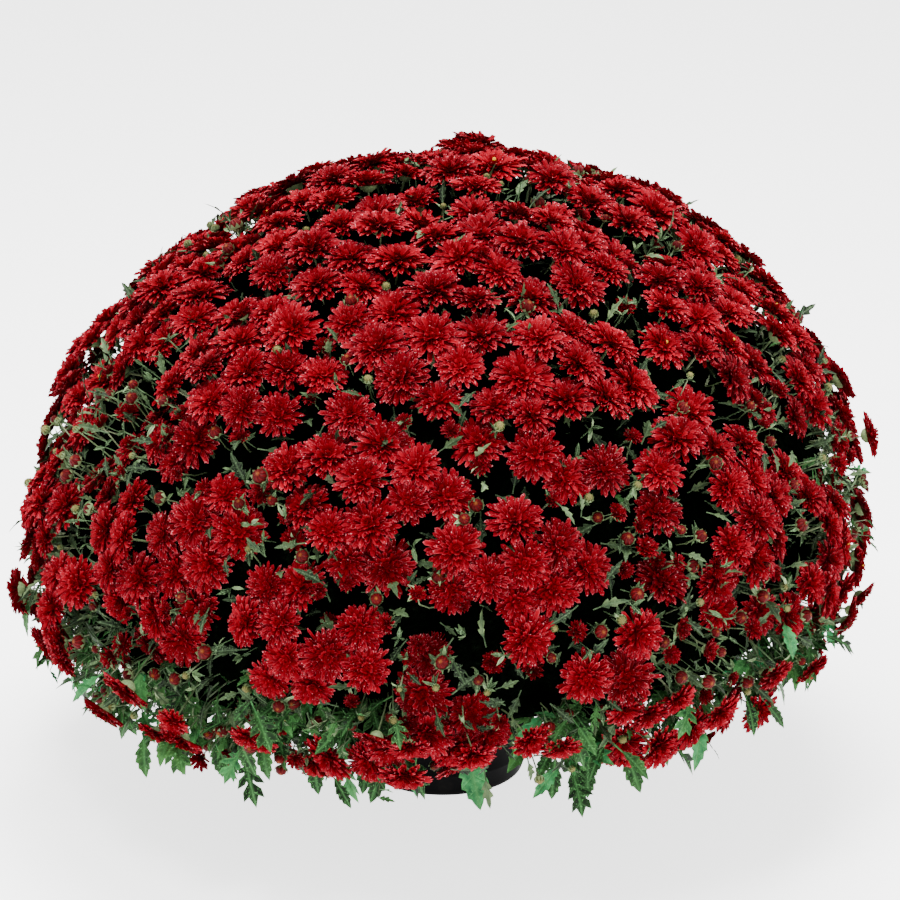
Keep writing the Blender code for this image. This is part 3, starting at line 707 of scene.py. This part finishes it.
class Paint:
    """A material's nodes, made by short calls."""

    def __init__(self, name, roughness, specular):
        self.material = bpy.data.materials.new(name)
        self.material.use_nodes = True
        self.tree = self.material.node_tree
        self.shader = self.tree.nodes["Principled BSDF"]
        self.shader.inputs["Roughness"].default_value = roughness
        self.shader.inputs["Specular IOR Level"].default_value = specular
        self.column = -200

    def new(self, kind, inputs, **settings):
        """A node, left of the ones before it. Its inputs take values or other nodes' outputs."""
        made = self.tree.nodes.new(kind)
        self.column -= 180
        made.location = (self.column, 0)
        for name, value in settings.items():
            setattr(made, name, value)
        for name, value in inputs.items():
            self.feed(made.inputs[name], value)
        return made

    def feed(self, socket, value):
        if isinstance(value, bpy.types.NodeSocket):
            self.tree.links.new(value, socket)
        else:
            socket.default_value = (*value, 1) if isinstance(value, tuple) else value

    def fact(self, name):
        """The three numbers of a vector of facts."""
        attribute = self.new("ShaderNodeAttribute", {}, attribute_name=name)
        return tuple(self.new("ShaderNodeSeparateXYZ", {0: attribute.outputs["Vector"]}).outputs)

    def ramp(self, value, stops):
        """Colours over a value. Each stop is a place and a colour, or one number for a grey."""
        made = self.new("ShaderNodeValToRGB", {0: value})
        elements = made.color_ramp.elements
        while len(elements) < len(stops):
            elements.new(0.5)
        for element, (place, *colour) in zip(elements, stops):
            element.position = place
            element.color = (*(colour * 3)[:3], 1)
        return made.outputs[0]

    def mix(self, factor, first, second, blend="MIX"):
        inputs = {0: factor, 6: first, 7: second}
        return self.new("ShaderNodeMix", inputs, data_type="RGBA", blend_type=blend).outputs[2]

    def tint(self, base, value, stops):
        """A colour multiplied by a ramp over a value."""
        return self.mix(1.0, base, self.ramp(value, stops), "MULTIPLY")

    def math(self, operation, *values):
        return self.new("ShaderNodeMath", dict(enumerate(values)), operation=operation).outputs[0]

    def times(self, first, second):
        return self.math("MULTIPLY", first, second)

    def power(self, base, exponent):
        return self.math("POWER", base, exponent)

    def noise(self, scale, detail):
        place = self.new("ShaderNodeTexCoord", {}).outputs["Object"]
        inputs = {"Vector": place, "Scale": scale, "Detail": detail, "Roughness": 0.55}
        return self.new("ShaderNodeTexNoise", inputs).outputs["Fac"]

    def colour(self, value):
        self.feed(self.shader.inputs["Base Color"], value)

    def rough(self, value, stops):
        self.feed(self.shader.inputs["Roughness"], self.ramp(value, stops))

    def bump(self, height, strength, distance):
        inputs = {"Height": height, "Strength": strength, "Distance": distance}
        self.feed(self.shader.inputs["Normal"], self.new("ShaderNodeBump", inputs).outputs[0])


def petal_material():
    """Deep red ribbed petals, darker towards their bases as painted shade, with pale painted glints on the
    rims of some and as specks near their tips, and a yellow eye where a flower has one.
    """
    paint = Paint("petal", 0.42, 0.015)
    along, across, chance = paint.fact("facts")
    layer, tone, eye = paint.fact("more")
    # Darker towards each petal's base: painted shade where the petals overlap and in the heart.
    body = paint.ramp(along, [
        (0.0, 0.065, 0.0001, 0.0018), (0.35, 0.155, 0.0002, 0.0044), (0.80, 0.205, 0.0003, 0.0064),
        (1.0, 0.215, 0.0007, 0.0085),
    ])
    body = paint.tint(body, layer, [(0.0, 1.0), (0.55, 0.97, 0.95, 0.95), (1.0, 0.85, 0.72, 0.76)])
    body = paint.tint(body, tone, [
        (0.0, 0.58, 0.50, 0.55), (0.5, 0.92, 0.88, 0.90), (1.0, 1.12, 1.10, 1.10),
    ])
    body = paint.tint(body, chance, [(0.0, 0.66, 0.62, 0.64), (1.0, 1.24, 1.28, 1.28)])
    fleck = paint.noise(900, 2)
    body = paint.tint(body, fleck, [(0.3, 0.80, 0.78, 0.78), (0.7, 1.15, 1.18, 1.18)])
    # Pale pink on the rims and tips of petals picked by chance: painted glints.
    rim = paint.math("MAXIMUM", paint.power(paint.math("ABSOLUTE", across), 7.0), paint.power(along, 26.0))
    rim = paint.times(rim, paint.power(along, 2.0))
    lit = paint.ramp(chance, [(0.50, 0.05), (0.97, 0.80)])
    body = paint.mix(paint.times(rim, lit), body, (0.50, 0.086, 0.106))
    # Pale specks near the petal tips: painted glints.
    glint_speck = paint.ramp(paint.noise(800, 1), [(0.66, 0.0), (0.71, 1.0)])
    glint_speck = paint.times(glint_speck, paint.ramp(along, [(0.72, 0.0), (0.97, 0.80)]))
    body = paint.mix(glint_speck, body, (0.90, 0.380, 0.400))
    paint.colour(paint.mix(eye, body, (0.42, 0.20, 0.020)))
    grooves = paint.math("SINE", paint.times(across, 11.0))
    paint.bump(paint.math("ADD", paint.times(grooves, 0.5), fleck), 0.25, 0.0006)
    paint.rough(fleck, [(0.25, 0.34), (0.75, 0.52)])
    return paint.material


# Each leaf's own colour: dark, middling, light and fresh
CALYX_GREENS = (0.028, 0.052, 0.022), (0.055, 0.095, 0.040), (0.110, 0.150, 0.065), (0.140, 0.190, 0.090)
LEAF_GREENS = (0.0014, 0.0046, 0.0013), (0.0080, 0.026, 0.0070), (0.030, 0.100, 0.026), (0.018, 0.200, 0.078)
SHADED_GREENS = (
    (0.0012, 0.0026, 0.0012), (0.0056, 0.0120, 0.0050), (0.036, 0.062, 0.028), (0.120, 0.185, 0.092),
)
TUFT_GREENS = (0.004, 0.010, 0.004), (0.018, 0.036, 0.015), (0.085, 0.145, 0.066), (0.270, 0.370, 0.215)


def leaf_material(name, greens):
    """Mottled green leaves with pale midribs and veins, painted highlights on their rims, painted shade
    towards the midrib, and painted glints as specks.
    """
    paint = Paint(name, 0.42, 0.07)
    along, across, chance = paint.fact("facts")
    _, _, rim = paint.fact("more")
    base = paint.ramp(chance, [(place, *green) for place, green in zip((0.0, 0.50, 0.86, 1.0), greens)])
    patch = paint.noise(120, 4)
    base = paint.tint(base, patch, [(0.32, 0.30, 0.33, 0.38), (0.68, 1.75, 1.62, 1.45)])
    # Lighter towards the rims and darker towards the midrib: painted light on the rims and painted shade
    # along the fold.
    base = paint.tint(base, rim, [(0.0, 0.70, 0.72, 0.75), (1.0, 1.20, 1.15, 1.10)])
    away = paint.math("ABSOLUTE", across)
    slant = paint.math("SUBTRACT", along, paint.times(away, 0.8))
    veins = paint.math("SINE", paint.times(slant, 30.0))
    veins = paint.power(paint.math("MAXIMUM", veins, 0.0), 9.0)
    near = paint.math("MINIMUM", paint.times(away, 14.0), 1.0)
    midrib = paint.power(paint.math("SUBTRACT", 1.0, near), 2.0)
    lines = paint.math("MAXIMUM", midrib, paint.times(veins, 0.5))
    # Paler still right at the rims: painted highlights.
    edge_highlight = paint.times(paint.power(rim, 9.0), 0.7)
    light = greens[2]
    pale = tuple(value * 2.2 + 0.008 for value in light)
    base = paint.mix(paint.times(paint.math("MAXIMUM", lines, edge_highlight), 0.50), base, pale)
    # Pale specks: painted glints.
    glint_speck = paint.ramp(paint.noise(650, 1), [(0.60, 0.0), (0.68, 0.55)])
    paint.colour(paint.mix(glint_speck, base, tuple(value * 2.6 + 0.010 for value in light)))
    paint.bump(paint.math("ADD", paint.times(lines, -1.0), patch), 0.55, 0.0012)
    paint.rough(patch, [(0.2, 0.42), (0.8, 0.62)])
    return paint.material


def stalk_material():
    """Pale to dull green stalks, darker towards their ends inside the dome as painted shade."""
    paint = Paint("stalk", 0.5, 0.15)
    along, _, chance = paint.fact("facts")
    base = paint.ramp(chance, [
        (0.0, 0.035, 0.062, 0.025), (0.6, 0.100, 0.145, 0.070), (1.0, 0.240, 0.290, 0.180),
    ])
    # Darker towards each tube's end, which for the flower stalks lies inside the dome: painted shade.
    base = paint.tint(base, along, [(0.0, 1.15, 1.10, 1.0), (1.0, 0.42, 0.46, 0.44)])
    patch = paint.noise(400, 3)
    paint.colour(paint.tint(base, patch, [(0.3, 0.75), (0.7, 1.2)]))
    paint.bump(patch, 0.4, 0.0005)
    return paint.material


def bud_material():
    """Rippled buds, red with an orange tip or pale green."""
    paint = Paint("bud_petals", 0.5, 0.06)
    along, turn, _ = paint.fact("facts")
    _, tone, red = paint.fact("more")
    ripple = paint.math("SINE", paint.math("ADD", paint.times(turn, 9.0), paint.times(along, 6.0)))
    warm = paint.ramp(along, [
        (0.0, 0.02, 0.04, 0.01), (0.4, 0.075, 0.001, 0.003), (0.95, 0.085, 0.002, 0.003),
        (1.0, 0.26, 0.07, 0.014),
    ])
    cool = paint.ramp(along, [
        (0.0, 0.03, 0.06, 0.02), (0.6, 0.085, 0.110, 0.035), (1.0, 0.22, 0.19, 0.06),
    ])
    base = paint.mix(red, cool, warm)
    # Darker in the troughs of the ripples: painted shade in the folds between the bud's petals.
    base = paint.tint(base, ripple, [(0.2, 0.62), (0.8, 1.2)])
    paint.colour(paint.tint(base, tone, [(0.0, 0.6), (1.0, 1.1)]))
    paint.bump(ripple, 0.5, 0.0008)
    return paint.material


def core_material():
    # Near-black greens with faint mottling: painted shade for the mass inside the dome.
    paint = Paint("inner_leaves", 0.8, 0.0)
    patch = paint.noise(60, 6)
    fine = paint.noise(260, 4)
    base = paint.ramp(patch, [
        (0.35, 0.0003, 0.0006, 0.0004), (0.60, 0.0010, 0.0020, 0.0010), (0.80, 0.0060, 0.0120, 0.0055),
    ])
    paint.colour(paint.tint(base, fine, [(0.35, 0.3), (0.7, 1.4)]))
    paint.bump(paint.math("ADD", patch, fine), 1.0, 0.008)
    return paint.material


def pot_material():
    paint = Paint("nursery_pot_plastic", 0.42, 0.01)
    dust = paint.noise(45, 5)
    paint.colour(paint.ramp(dust, [
        (0.3, 0.0010, 0.0010, 0.0011), (0.62, 0.0018, 0.0018, 0.0019), (0.8, 0.0050, 0.0046, 0.0042),
    ]))
    paint.bump(paint.noise(900, 2), 0.15, 0.0004)
    paint.rough(dust, [(0.3, 0.34), (0.75, 0.56)])
    return paint.material


def soil_material():
    """Dark brown potting mix with pale grains."""
    paint = Paint("potting_mix", 0.95, 0.2)
    grain = paint.noise(420, 6)
    paint.colour(paint.ramp(grain, [
        (0.30, 0.010, 0.006, 0.004), (0.52, 0.040, 0.024, 0.015), (0.66, 0.085, 0.055, 0.034),
        (0.74, 0.42, 0.40, 0.36),
    ]))
    paint.bump(paint.math("ADD", grain, paint.noise(90, 4)), 1.0, 0.003)
    return paint.material


PETAL, STALK, BUD, CORE = petal_material(), stalk_material(), bud_material(), core_material()
CALYX = leaf_material("calyx", CALYX_GREENS)
LEAF = leaf_material("leaf", LEAF_GREENS)
SHADED_LEAF = leaf_material("shaded_leaf", SHADED_GREENS)
TUFT = leaf_material("tuft_leaf", TUFT_GREENS)


class Plant:
    """One plant, the node that its pieces stand for, and the small heads gathered on it.

    A head is its centre, its face, its radius, the top of its stalk and whether it is a flower.
    """

    def __init__(self, number):
        self.number = number
        self.heading = FULL_TURN * (number + 0.75) / PLANT_COUNT
        self.node = f"plant_{number + 1}_foliage"
        self.blooms, self.buds = Shape(), Shape()
        self.heads = []

    def piece(self, name, shape, *materials):
        shape.piece(f"{name}_{self.number + 1}", materials, self.node, slot="foliage")

    def pieces_of_heads(self):
        self.blooms.piece(f"small_blooms_{self.number + 1}", [PETAL], slot="petals")
        self.buds.piece(f"buds_{self.number + 1}", [BUD, CALYX], slot="foliage")


def build_blooms(draw, flowers):
    count = len(flowers.centres)
    tones = np.clip(draw.normal(0.5, 0.25, count), 0, LARGEST_TONE)
    tones[draw.random(count) < EYE_SHARE] = EYE_TONE
    for order, number in enumerate(sorted(set(flowers.spray))):
        shape = Shape()
        for i in np.flatnonzero(flowers.spray == number):
            openness = 1.0 if draw.random() < FULLY_OPEN_SHARE else draw.uniform(0.84, 0.92)
            add_bloom(shape, draw, *flowers.head(i), openness, tones[i])
        shape.piece(f"blooms_{order + 1:02d}", [PETAL], f"flower_spray_{order + 1:02d}", slot="petals")


def open_spots(draw, flowers):
    """Places between the flowers: the roomiest for small heads, and more for tufts."""
    spots = even_points(4200, turn=1.3, last=math.radians(124))
    spots = spots + draw.normal(0, 0.003, spots.shape)
    room = flowers.room(spots)
    polar = np.degrees(canopy_angles(spots)[0])
    order = draw.permutation(len(spots))
    chosen = []
    for low, high, count, least in HEAD_ZONES:
        taken = []
        for i in order[(room[order] > least) & (polar[order] >= low) & (polar[order] < high)]:
            if len(taken) < count and all(np.linalg.norm(spots[i] - spots[j]) > HEAD_SPACING for j in taken):
                taken.append(i)
        chosen += taken
    tufts = order[(room[order] > TUFT_ROOM) & (polar[order] < 112)]
    return spots[chosen], spots[tufts[:TUFT_COUNT]]


def add_gap_heads(plants, draw, spots):
    """Half-open flowers, red buds and green buds in the gaps, set deeper than the open flowers."""
    outs = canopy_normal(*canopy_angles(spots))
    for spot, out, number, kind in zip(spots, outs, plant_of(spots), draw.random(len(spots))):
        plant = plants[number]
        face = unit(out + [0, 0, 0.25] + draw.normal(0, 0.22, 3))
        if kind < HALF_OPEN_SHARE:
            radius = draw.uniform(*HALF_OPEN_RADII)
            centre = spot - out * draw.uniform(0.003, 0.018)
            openness, tone = draw.uniform(0.35, 0.75), draw.uniform(0.0, 0.35)
            add_bloom(plant.blooms, draw, centre, face, radius, openness, tone)
            plant.heads.append((centre, face, radius, centre - face * radius * 0.3, True))
        else:
            red = kind < COLOURED_SHARE
            radius = draw.uniform(*(RED_BUD_RADII if red else GREEN_BUD_RADII))
            centre = spot - out * draw.uniform(0.000, 0.012)
            add_bud(plant.buds, draw, centre, face, radius, red)
            plant.heads.append((centre, face, radius, centre - face * radius * 0.95, False))


def low_flowers(draw, flowers):
    """Rows like STRAY_FLOWERS for flowers that hang low, each in the roomiest of some places."""
    rows = []
    for number in range(LOW_FLOWERS):
        turn = (number + draw.uniform(0, 1, LOW_TRIES)) * 360 / LOW_FLOWERS
        polar = draw.uniform(*LOW_BAND, LOW_TRIES)
        front = in_pot_window(np.radians(turn))
        points = canopy_point(np.radians(polar), np.radians(turn))
        room = flowers.distances(points).min(axis=1) - front
        best = room.argmax()
        if not front[best]:
            rows.append((polar[best], turn[best], draw.uniform(*LOW_PROUD), draw.uniform(*LOW_RADII),
                         draw.uniform(*LOW_RISE)))
    return rows


def add_stray_flowers(plants, draw, flowers):
    """The flowers that stand or hang out on longer stalks."""
    for polar, turn, proud, radius, rise in (*STRAY_FLOWERS, *low_flowers(draw, flowers)):
        angles = np.radians([[polar], [turn]])
        out = canopy_normal(*angles)[0]
        centre = canopy_point(*angles)[0] + out * proud
        plant = plants[plant_of(centre[None])[0]]
        face = unit(out + [0, 0, rise] + draw.normal(0, 0.2, 3))
        add_bloom(plant.blooms, draw, centre, face, radius, 0.95, draw.uniform(0.3, 0.8))
        plant.heads.append((centre, face, radius, centre - face * radius * 0.4, True))


def build_calyces(plant, draw, flowers, own):
    shape = Shape()
    for i in own:
        add_calyx(shape, draw, *flowers.head(i))
    for centre, face, radius, _, is_flower in plant.heads:
        if is_flower:
            add_calyx(shape, draw, centre, face, radius)
    plant.piece("calyces", shape, CALYX)


def stalk_curves(draw, tops, faces, hubs):
    """Curves that leave the flowers straight down and end near their hubs."""
    ends = hubs + draw.normal(0, 0.006, hubs.shape)
    reach = np.linalg.norm(tops - ends, axis=1)[:, None]
    return tops, tops - faces * reach * 0.5, ends


def build_stalks(plant, draw, flowers, own):
    """The stalks of the flowers and small heads, the branches to their hubs and the woody stem."""
    shape = Shape()
    faces, hubs = flowers.faces[own], flowers.hubs[own]
    tops = flowers.centres[own] - faces * (flowers.sizes[own] * 0.40)[:, None]
    curves = stalk_curves(draw, tops, faces, hubs)
    tubes(shape, draw, curves, draw.uniform(0.0008, 0.0012, len(own)))
    for t in (0.12, 0.28, 0.46):
        spots, ahead = along_curve(curves, t + draw.uniform(0, 0.1))
        aside = unit(draw.normal(0, 1, spots.shape) - ahead * 0.6)
        add_leaves(shape, draw, SMALL_LEAF, spots, aside, -ahead, draw.uniform(0.007, 0.015, len(own)))
    _, faces, _, tops, _ = map(np.array, zip(*plant.heads))
    nearest = flowers.distances(tops).argmin(axis=1)
    curves = stalk_curves(draw, tops, faces, flowers.hubs[nearest])
    tubes(shape, draw, curves, draw.uniform(0.0006, 0.0009, len(tops)), sides=3)
    add_stem(shape, draw, plant, np.unique(hubs, axis=0))
    plant.piece("stalks", shape, STALK)


def add_stem(shape, draw, plant, hubs):
    """The branches from the hubs down to the crown, and the stem from the crown into the soil."""
    x, y = STEM_CIRCLE * math.cos(plant.heading), STEM_CIRCLE * math.sin(plant.heading)
    crown = np.array([[x, y, SOIL_TOP + 0.05]])
    branches = (hubs, hubs * [0.75, 0.75, 0.35] + [0, 0, 0.12], np.repeat(crown, len(hubs), axis=0))
    tubes(shape, draw, branches, np.full(len(hubs), 0.0020), rings=8, sides=6, taper=1.5)
    stem = (crown + [0, 0, 0.012], crown - [0, 0, 0.02], np.array([[x, y, SOIL_TOP - 0.012]]))
    tubes(shape, draw, stem, np.array([0.0050]), rings=8, sides=10, taper=1.15)


def build_inner_leaves(plant, draw, flowers, tuft_spots):
    """The small leaves under and among the flowers, and the tufts in the gaps."""
    shape = Shape()
    points = even_points(INNER_LEAVES * PLANT_COUNT, turn=2.1 + plant.number, last=math.radians(118))
    points = points[plant_of(points) == plant.number]
    count = len(points)
    angles = canopy_angles(points + draw.normal(0, 0.006, points.shape))
    points, out = canopy_point(*angles), canopy_normal(*angles)
    in_gap = flowers.room(points) > 1.0
    depth = np.where(in_gap, draw.uniform(0.008, 0.032, count), draw.uniform(0.020, 0.036, count))
    forward = unit(out * 0.55 + draw.normal(0, 0.75, out.shape) + [0, 0, 0.05])
    ups = unit(out + [0, 0, 0.5] + draw.normal(0, 0.3, out.shape))
    roots = points - out * depth[:, None]
    add_leaves(shape, draw, SMALL_LEAF, roots, forward, ups, draw.uniform(0.013, 0.026, count), stalk=0.3)
    add_tufts(shape, draw, tuft_spots[plant_of(tuft_spots) == plant.number], 1)
    plant.piece("inner_leaves", shape, SHADED_LEAF, TUFT)


def add_tufts(shape, draw, spots, slot):
    """Rosettes of tiny leaves on thin stalks in the gaps between the flowers."""
    outs = canopy_normal(*canopy_angles(spots))
    column = (len(spots), 1)
    heads = spots - outs * draw.uniform(0.006, 0.020, column)
    curves = (heads, heads - outs * 0.010 + draw.normal(0, 0.006, spots.shape), heads - outs * 0.024)
    tubes(shape, draw, curves, draw.uniform(0.0005, 0.0008, len(spots)), rings=2, sides=3, slot=slot)
    for _ in range(4):
        forward = unit(outs * draw.uniform(0.1, 0.9, column) + draw.normal(0, 0.7, outs.shape))
        ups = unit(outs + draw.normal(0, 0.4, outs.shape))
        lengths = draw.uniform(0.006, 0.013, len(spots))
        add_leaves(shape, draw, TUFT_LEAF, heads, forward, ups, lengths, arch=0.3, fold=0.5, slot=slot)


def build_skirt(plant, draw, flowers):
    """One plant's lower fringe, and the few shoots that stand out higher up."""
    leaves, stalks = Shape(), Shape()
    pieces = (leaves, stalks, plant.buds, plant.blooms)
    half = math.pi / PLANT_COUNT
    for kind in (SKIRT_SHOOTS, FRINGE_SHOOTS, UPPER_SHOOTS):
        share = (np.arange(kind.count) + draw.uniform(0, 1, kind.count)) / kind.count
        turn = plant.heading + (share * 2 - 1) * half
        polar = np.radians(draw.uniform(*kind.band, kind.count))
        front = in_pot_window(turn)
        add_shoots(pieces, draw, flowers, kind, turn[~front], polar[~front])
    turn = draw.uniform(*RIGHT_SPAN, RIGHT_SHOOTS.count)
    turn = turn[np.cos(turn - plant.heading) > math.cos(half)]
    polar = np.radians(draw.uniform(*RIGHT_SHOOTS.band, len(turn)))
    add_shoots(pieces, draw, flowers, RIGHT_SHOOTS, turn, polar)
    add_hanging(leaves, stalks, draw, plant)
    plant.piece("skirt_leaves", leaves, LEAF)
    plant.piece("skirt_shoots", stalks, STALK)


def add_hanging(leaves, stalks, draw, plant):
    """The single leaves that hang in front of the pot, each on its own stalk."""
    for x, y, z, length, shade in HANGING_LEAVES:
        root = np.array([[x, y, z]])
        if plant_of(root)[0] != plant.number:
            continue
        down = unit(np.array([[draw.normal(0, 0.22), -0.25, -1.0]]))
        ups = unit(np.array([[draw.normal(0, 0.3), -1.0, 0.3]]))
        add_leaves(leaves, draw, BIG_LEAF, root, down, ups, np.array([length]), arch=0.10, fold=0.25,
                   stalk=0.1, shade=shade)
        curve = (root * [0.75, 0.75, 1.0] + [0, 0, 0.07], root * [0.9, 0.9, 1] + [0, 0, 0.05], root)
        tubes(stalks, draw, curve, np.array([0.0011]), rings=6, sides=5)


def build_inside(plant, draw):
    """The dark inside of one plant, its near-black colour painted shade: a crumpled mass that leaves and
    stalks stand out of.
    """
    half = math.pi / PLANT_COUNT
    rows, columns = 26, 14
    turn = plant.heading + np.linspace(-half, half, columns)
    grid = np.meshgrid(np.linspace(0.02, CORE_END, rows), turn, indexing="ij")
    polar, turn = (angles.ravel() for angles in grid)
    rough = draw.uniform(-0.008, 0.008, len(polar))
    seam = (np.abs(turn - plant.heading) > half - 1e-6) | (polar < 0.03)
    rough[seam] = 0
    top, low = CORE_DEPTHS
    depth = top + (low - top) * polar / polar.max() + rough
    points = canopy_point(polar, turn) - canopy_normal(polar, turn) * depth[:, None]
    closing = points[-columns:] * [0.45, 0.45, 0] + [0, 0, 0.17]
    shape = Shape()
    shape.add(np.concatenate([points, closing]), bands(rows + 1, columns, downward=True, closed=False))
    plant.piece("inside", shape, CORE)


def pot_outer(z):
    return POT_BASE_RADIUS + (POT_TOP_RADIUS - 0.001 - POT_BASE_RADIUS) * z / 0.136


def pot_inner(z):
    return POT_BASE_RADIUS - POT_WALL + (POT_TOP_RADIUS - POT_BASE_RADIUS) * z / POT_HEIGHT


def pot_profile():
    """Radii and heights from the middle of the pot's floor, over its rim and down to its underside."""
    profile = [(0.0005, 0.0026), (0.04, 0.0026), (pot_inner(0.003) - 0.001, 0.003)]
    profile += [(pot_inner(z), z) for z in (0.006, 0.03, 0.06, 0.09, 0.12, 0.142)]
    profile += [(0.0985, 0.1492), (0.0995, 0.1500), (0.1020, 0.1500), (0.1031, 0.1493), (0.1035, 0.1480),
                (0.1035, 0.1385), (0.1031, 0.1366), (0.1020, 0.1360), (pot_outer(0.1352), 0.1352)]
    for z in (0.122, 0.118, 0.060, 0.056, 0.022):
        profile.append((pot_outer(z), z))
        if z in (0.122, 0.060):  # a raised band
            profile += [(pot_outer(low) + 0.0007, low) for low in (z - 0.0008, z - 0.0032)]
    profile += [(pot_outer(0.0205), 0.0205), (pot_outer(0.0195) - 0.0009, 0.0195),
                (pot_outer(0.004) - 0.0008, 0.004), (POT_BASE_RADIUS - 0.0012, 0.0010),
                (POT_BASE_RADIUS - 0.0030, 0.0), (0.060, 0.0), (0.059, 0.0012), (0.030, 0.0012),
                (0.029, 0.0002), (0.0005, 0.0002)]
    return profile


def build_pot():
    """The nursery pot, with a rolled rim, two bands, a stepped foot and a flat base."""
    shape = Shape()
    shape.add(*turned_form(pot_profile()[::-1], POT_SIDES, downward=True))
    shape.piece("pot", [pot_material()], "nursery_pot", slot="pot")


def build_soil(draw):
    """The potting mix: a crumbly crowned top with loose crumbs, and plain sides down into the pot."""
    reach, turn = np.meshgrid(np.linspace(0.002, 0.0945, SOIL_RINGS), round_turn(SOIL_SIDES), indexing="ij")
    height = 0.1300 - 0.006 * (reach / 0.095) ** 2 + draw.uniform(-0.0014, 0.0018, reach.shape)
    top = ring(turn, reach, height).reshape(-1, 3)
    low = ring(turn[-1], 0.0705, 0.006)
    points = np.concatenate([top, low, [[0, 0, 0.1302]], [[0, 0, 0.006]]])
    last = len(top)
    lid = cap(0, SOIL_SIDES, last + SOIL_SIDES)
    base = cap(last, SOIL_SIDES, last + SOIL_SIDES + 1)[:, ::-1]
    shape = Shape()
    shape.add(points, np.concatenate([bands(SOIL_RINGS + 1, SOIL_SIDES, downward=True), lid, base]))
    for _ in range(CRUMB_COUNT):
        r, a, size = 0.090 * math.sqrt(draw.random()), draw.uniform(0, 6.28), draw.uniform(0.0010, 0.0030)
        spot = np.array([r * math.cos(a), r * math.sin(a), 0.1305 - 0.006 * (r / 0.095) ** 2])
        turned = frame_of(unit(draw.normal(0, 0.5, 3) + UP), a)
        add_knob(shape, spot, turned, size, size * 0.7, sides=5)
    shape.piece("potting_mix", [soil_material()], "potting_soil", slot="soil")


def build_floor():
    """A wide pale floor, lit a little from itself so that it stays pale."""
    mesh = bpy.data.meshes.new("floor")
    mesh.from_pydata([(-9, -9, 0), (9, -9, 0), (9, 9, 0), (-9, 9, 0)], [], [(0, 1, 2, 3)])
    new_object("floor", mesh)
    paint = Paint("pale_floor", 0.9, 0.1)
    paint.colour((0.95, 0.95, 0.95))
    paint.shader.inputs["Emission Color"].default_value = (1, 1, 1, 1)
    paint.shader.inputs["Emission Strength"].default_value = FLOOR_GLOW
    mesh.materials.append(paint.material)


def light_scene():
    world = bpy.data.worlds.new("studio")
    world.use_nodes = True
    background = world.node_tree.nodes["Background"]
    background.inputs[0].default_value = (1, 1, 1, 1)
    background.inputs[1].default_value = WORLD_LIGHT
    bpy.context.scene.world = world
    add_softbox("key", (-0.6, -1.3, 2.7), (0, 0, 0.3), 0.7, 72)
    add_softbox("fill", (1.9, -1.6, 1.2), (0, 0, 0.3), 1.2, 30)
    add_softbox("top", (0.1, 0.3, 2.7), (0, 0, 0.4), 1.4, 185)


def add_softbox(name, place, target, size, power):
    light = bpy.data.lights.new(name, "AREA")
    light.shape = "RECTANGLE"
    light.size = light.size_y = size
    light.energy = power
    aim(new_object(name, light), Vector(place), Vector(target))


def aim(made, place, target):
    made.location = place
    made.rotation_euler = (target - place).to_track_quat("-Z", "Y").to_euler()


def add_camera():
    target = Vector((0.006, 0, 0.3026))
    back = Vector((0, -math.cos(CAMERA_RISE), math.sin(CAMERA_RISE)))
    camera = new_object("camera", bpy.data.cameras.new("camera"))
    aim(camera, target + back * CAMERA_DISTANCE, target)
    camera.data.sensor_width = CAMERA_SENSOR
    camera.data.lens = CAMERA_LENS
    bpy.context.scene.camera = camera


draw = np.random.default_rng(LOOKS_SEED)
flowers = Flowers()
plants = [Plant(number) for number in range(PLANT_COUNT)]
build_blooms(draw, flowers)
head_spots, tuft_spots = open_spots(draw, flowers)
add_gap_heads(plants, draw, head_spots)
add_stray_flowers(plants, draw, flowers)
for plant in plants:
    own = np.flatnonzero(flowers.plant == plant.number)
    build_calyces(plant, draw, flowers, own)
    build_stalks(plant, draw, flowers, own)
    build_inner_leaves(plant, draw, flowers, tuft_spots)
    build_skirt(plant, draw, flowers)
    build_inside(plant, draw)
    plant.pieces_of_heads()
build_pot()
build_soil(draw)
build_floor()
light_scene()
add_camera()

bpy.context.view_layer.update()
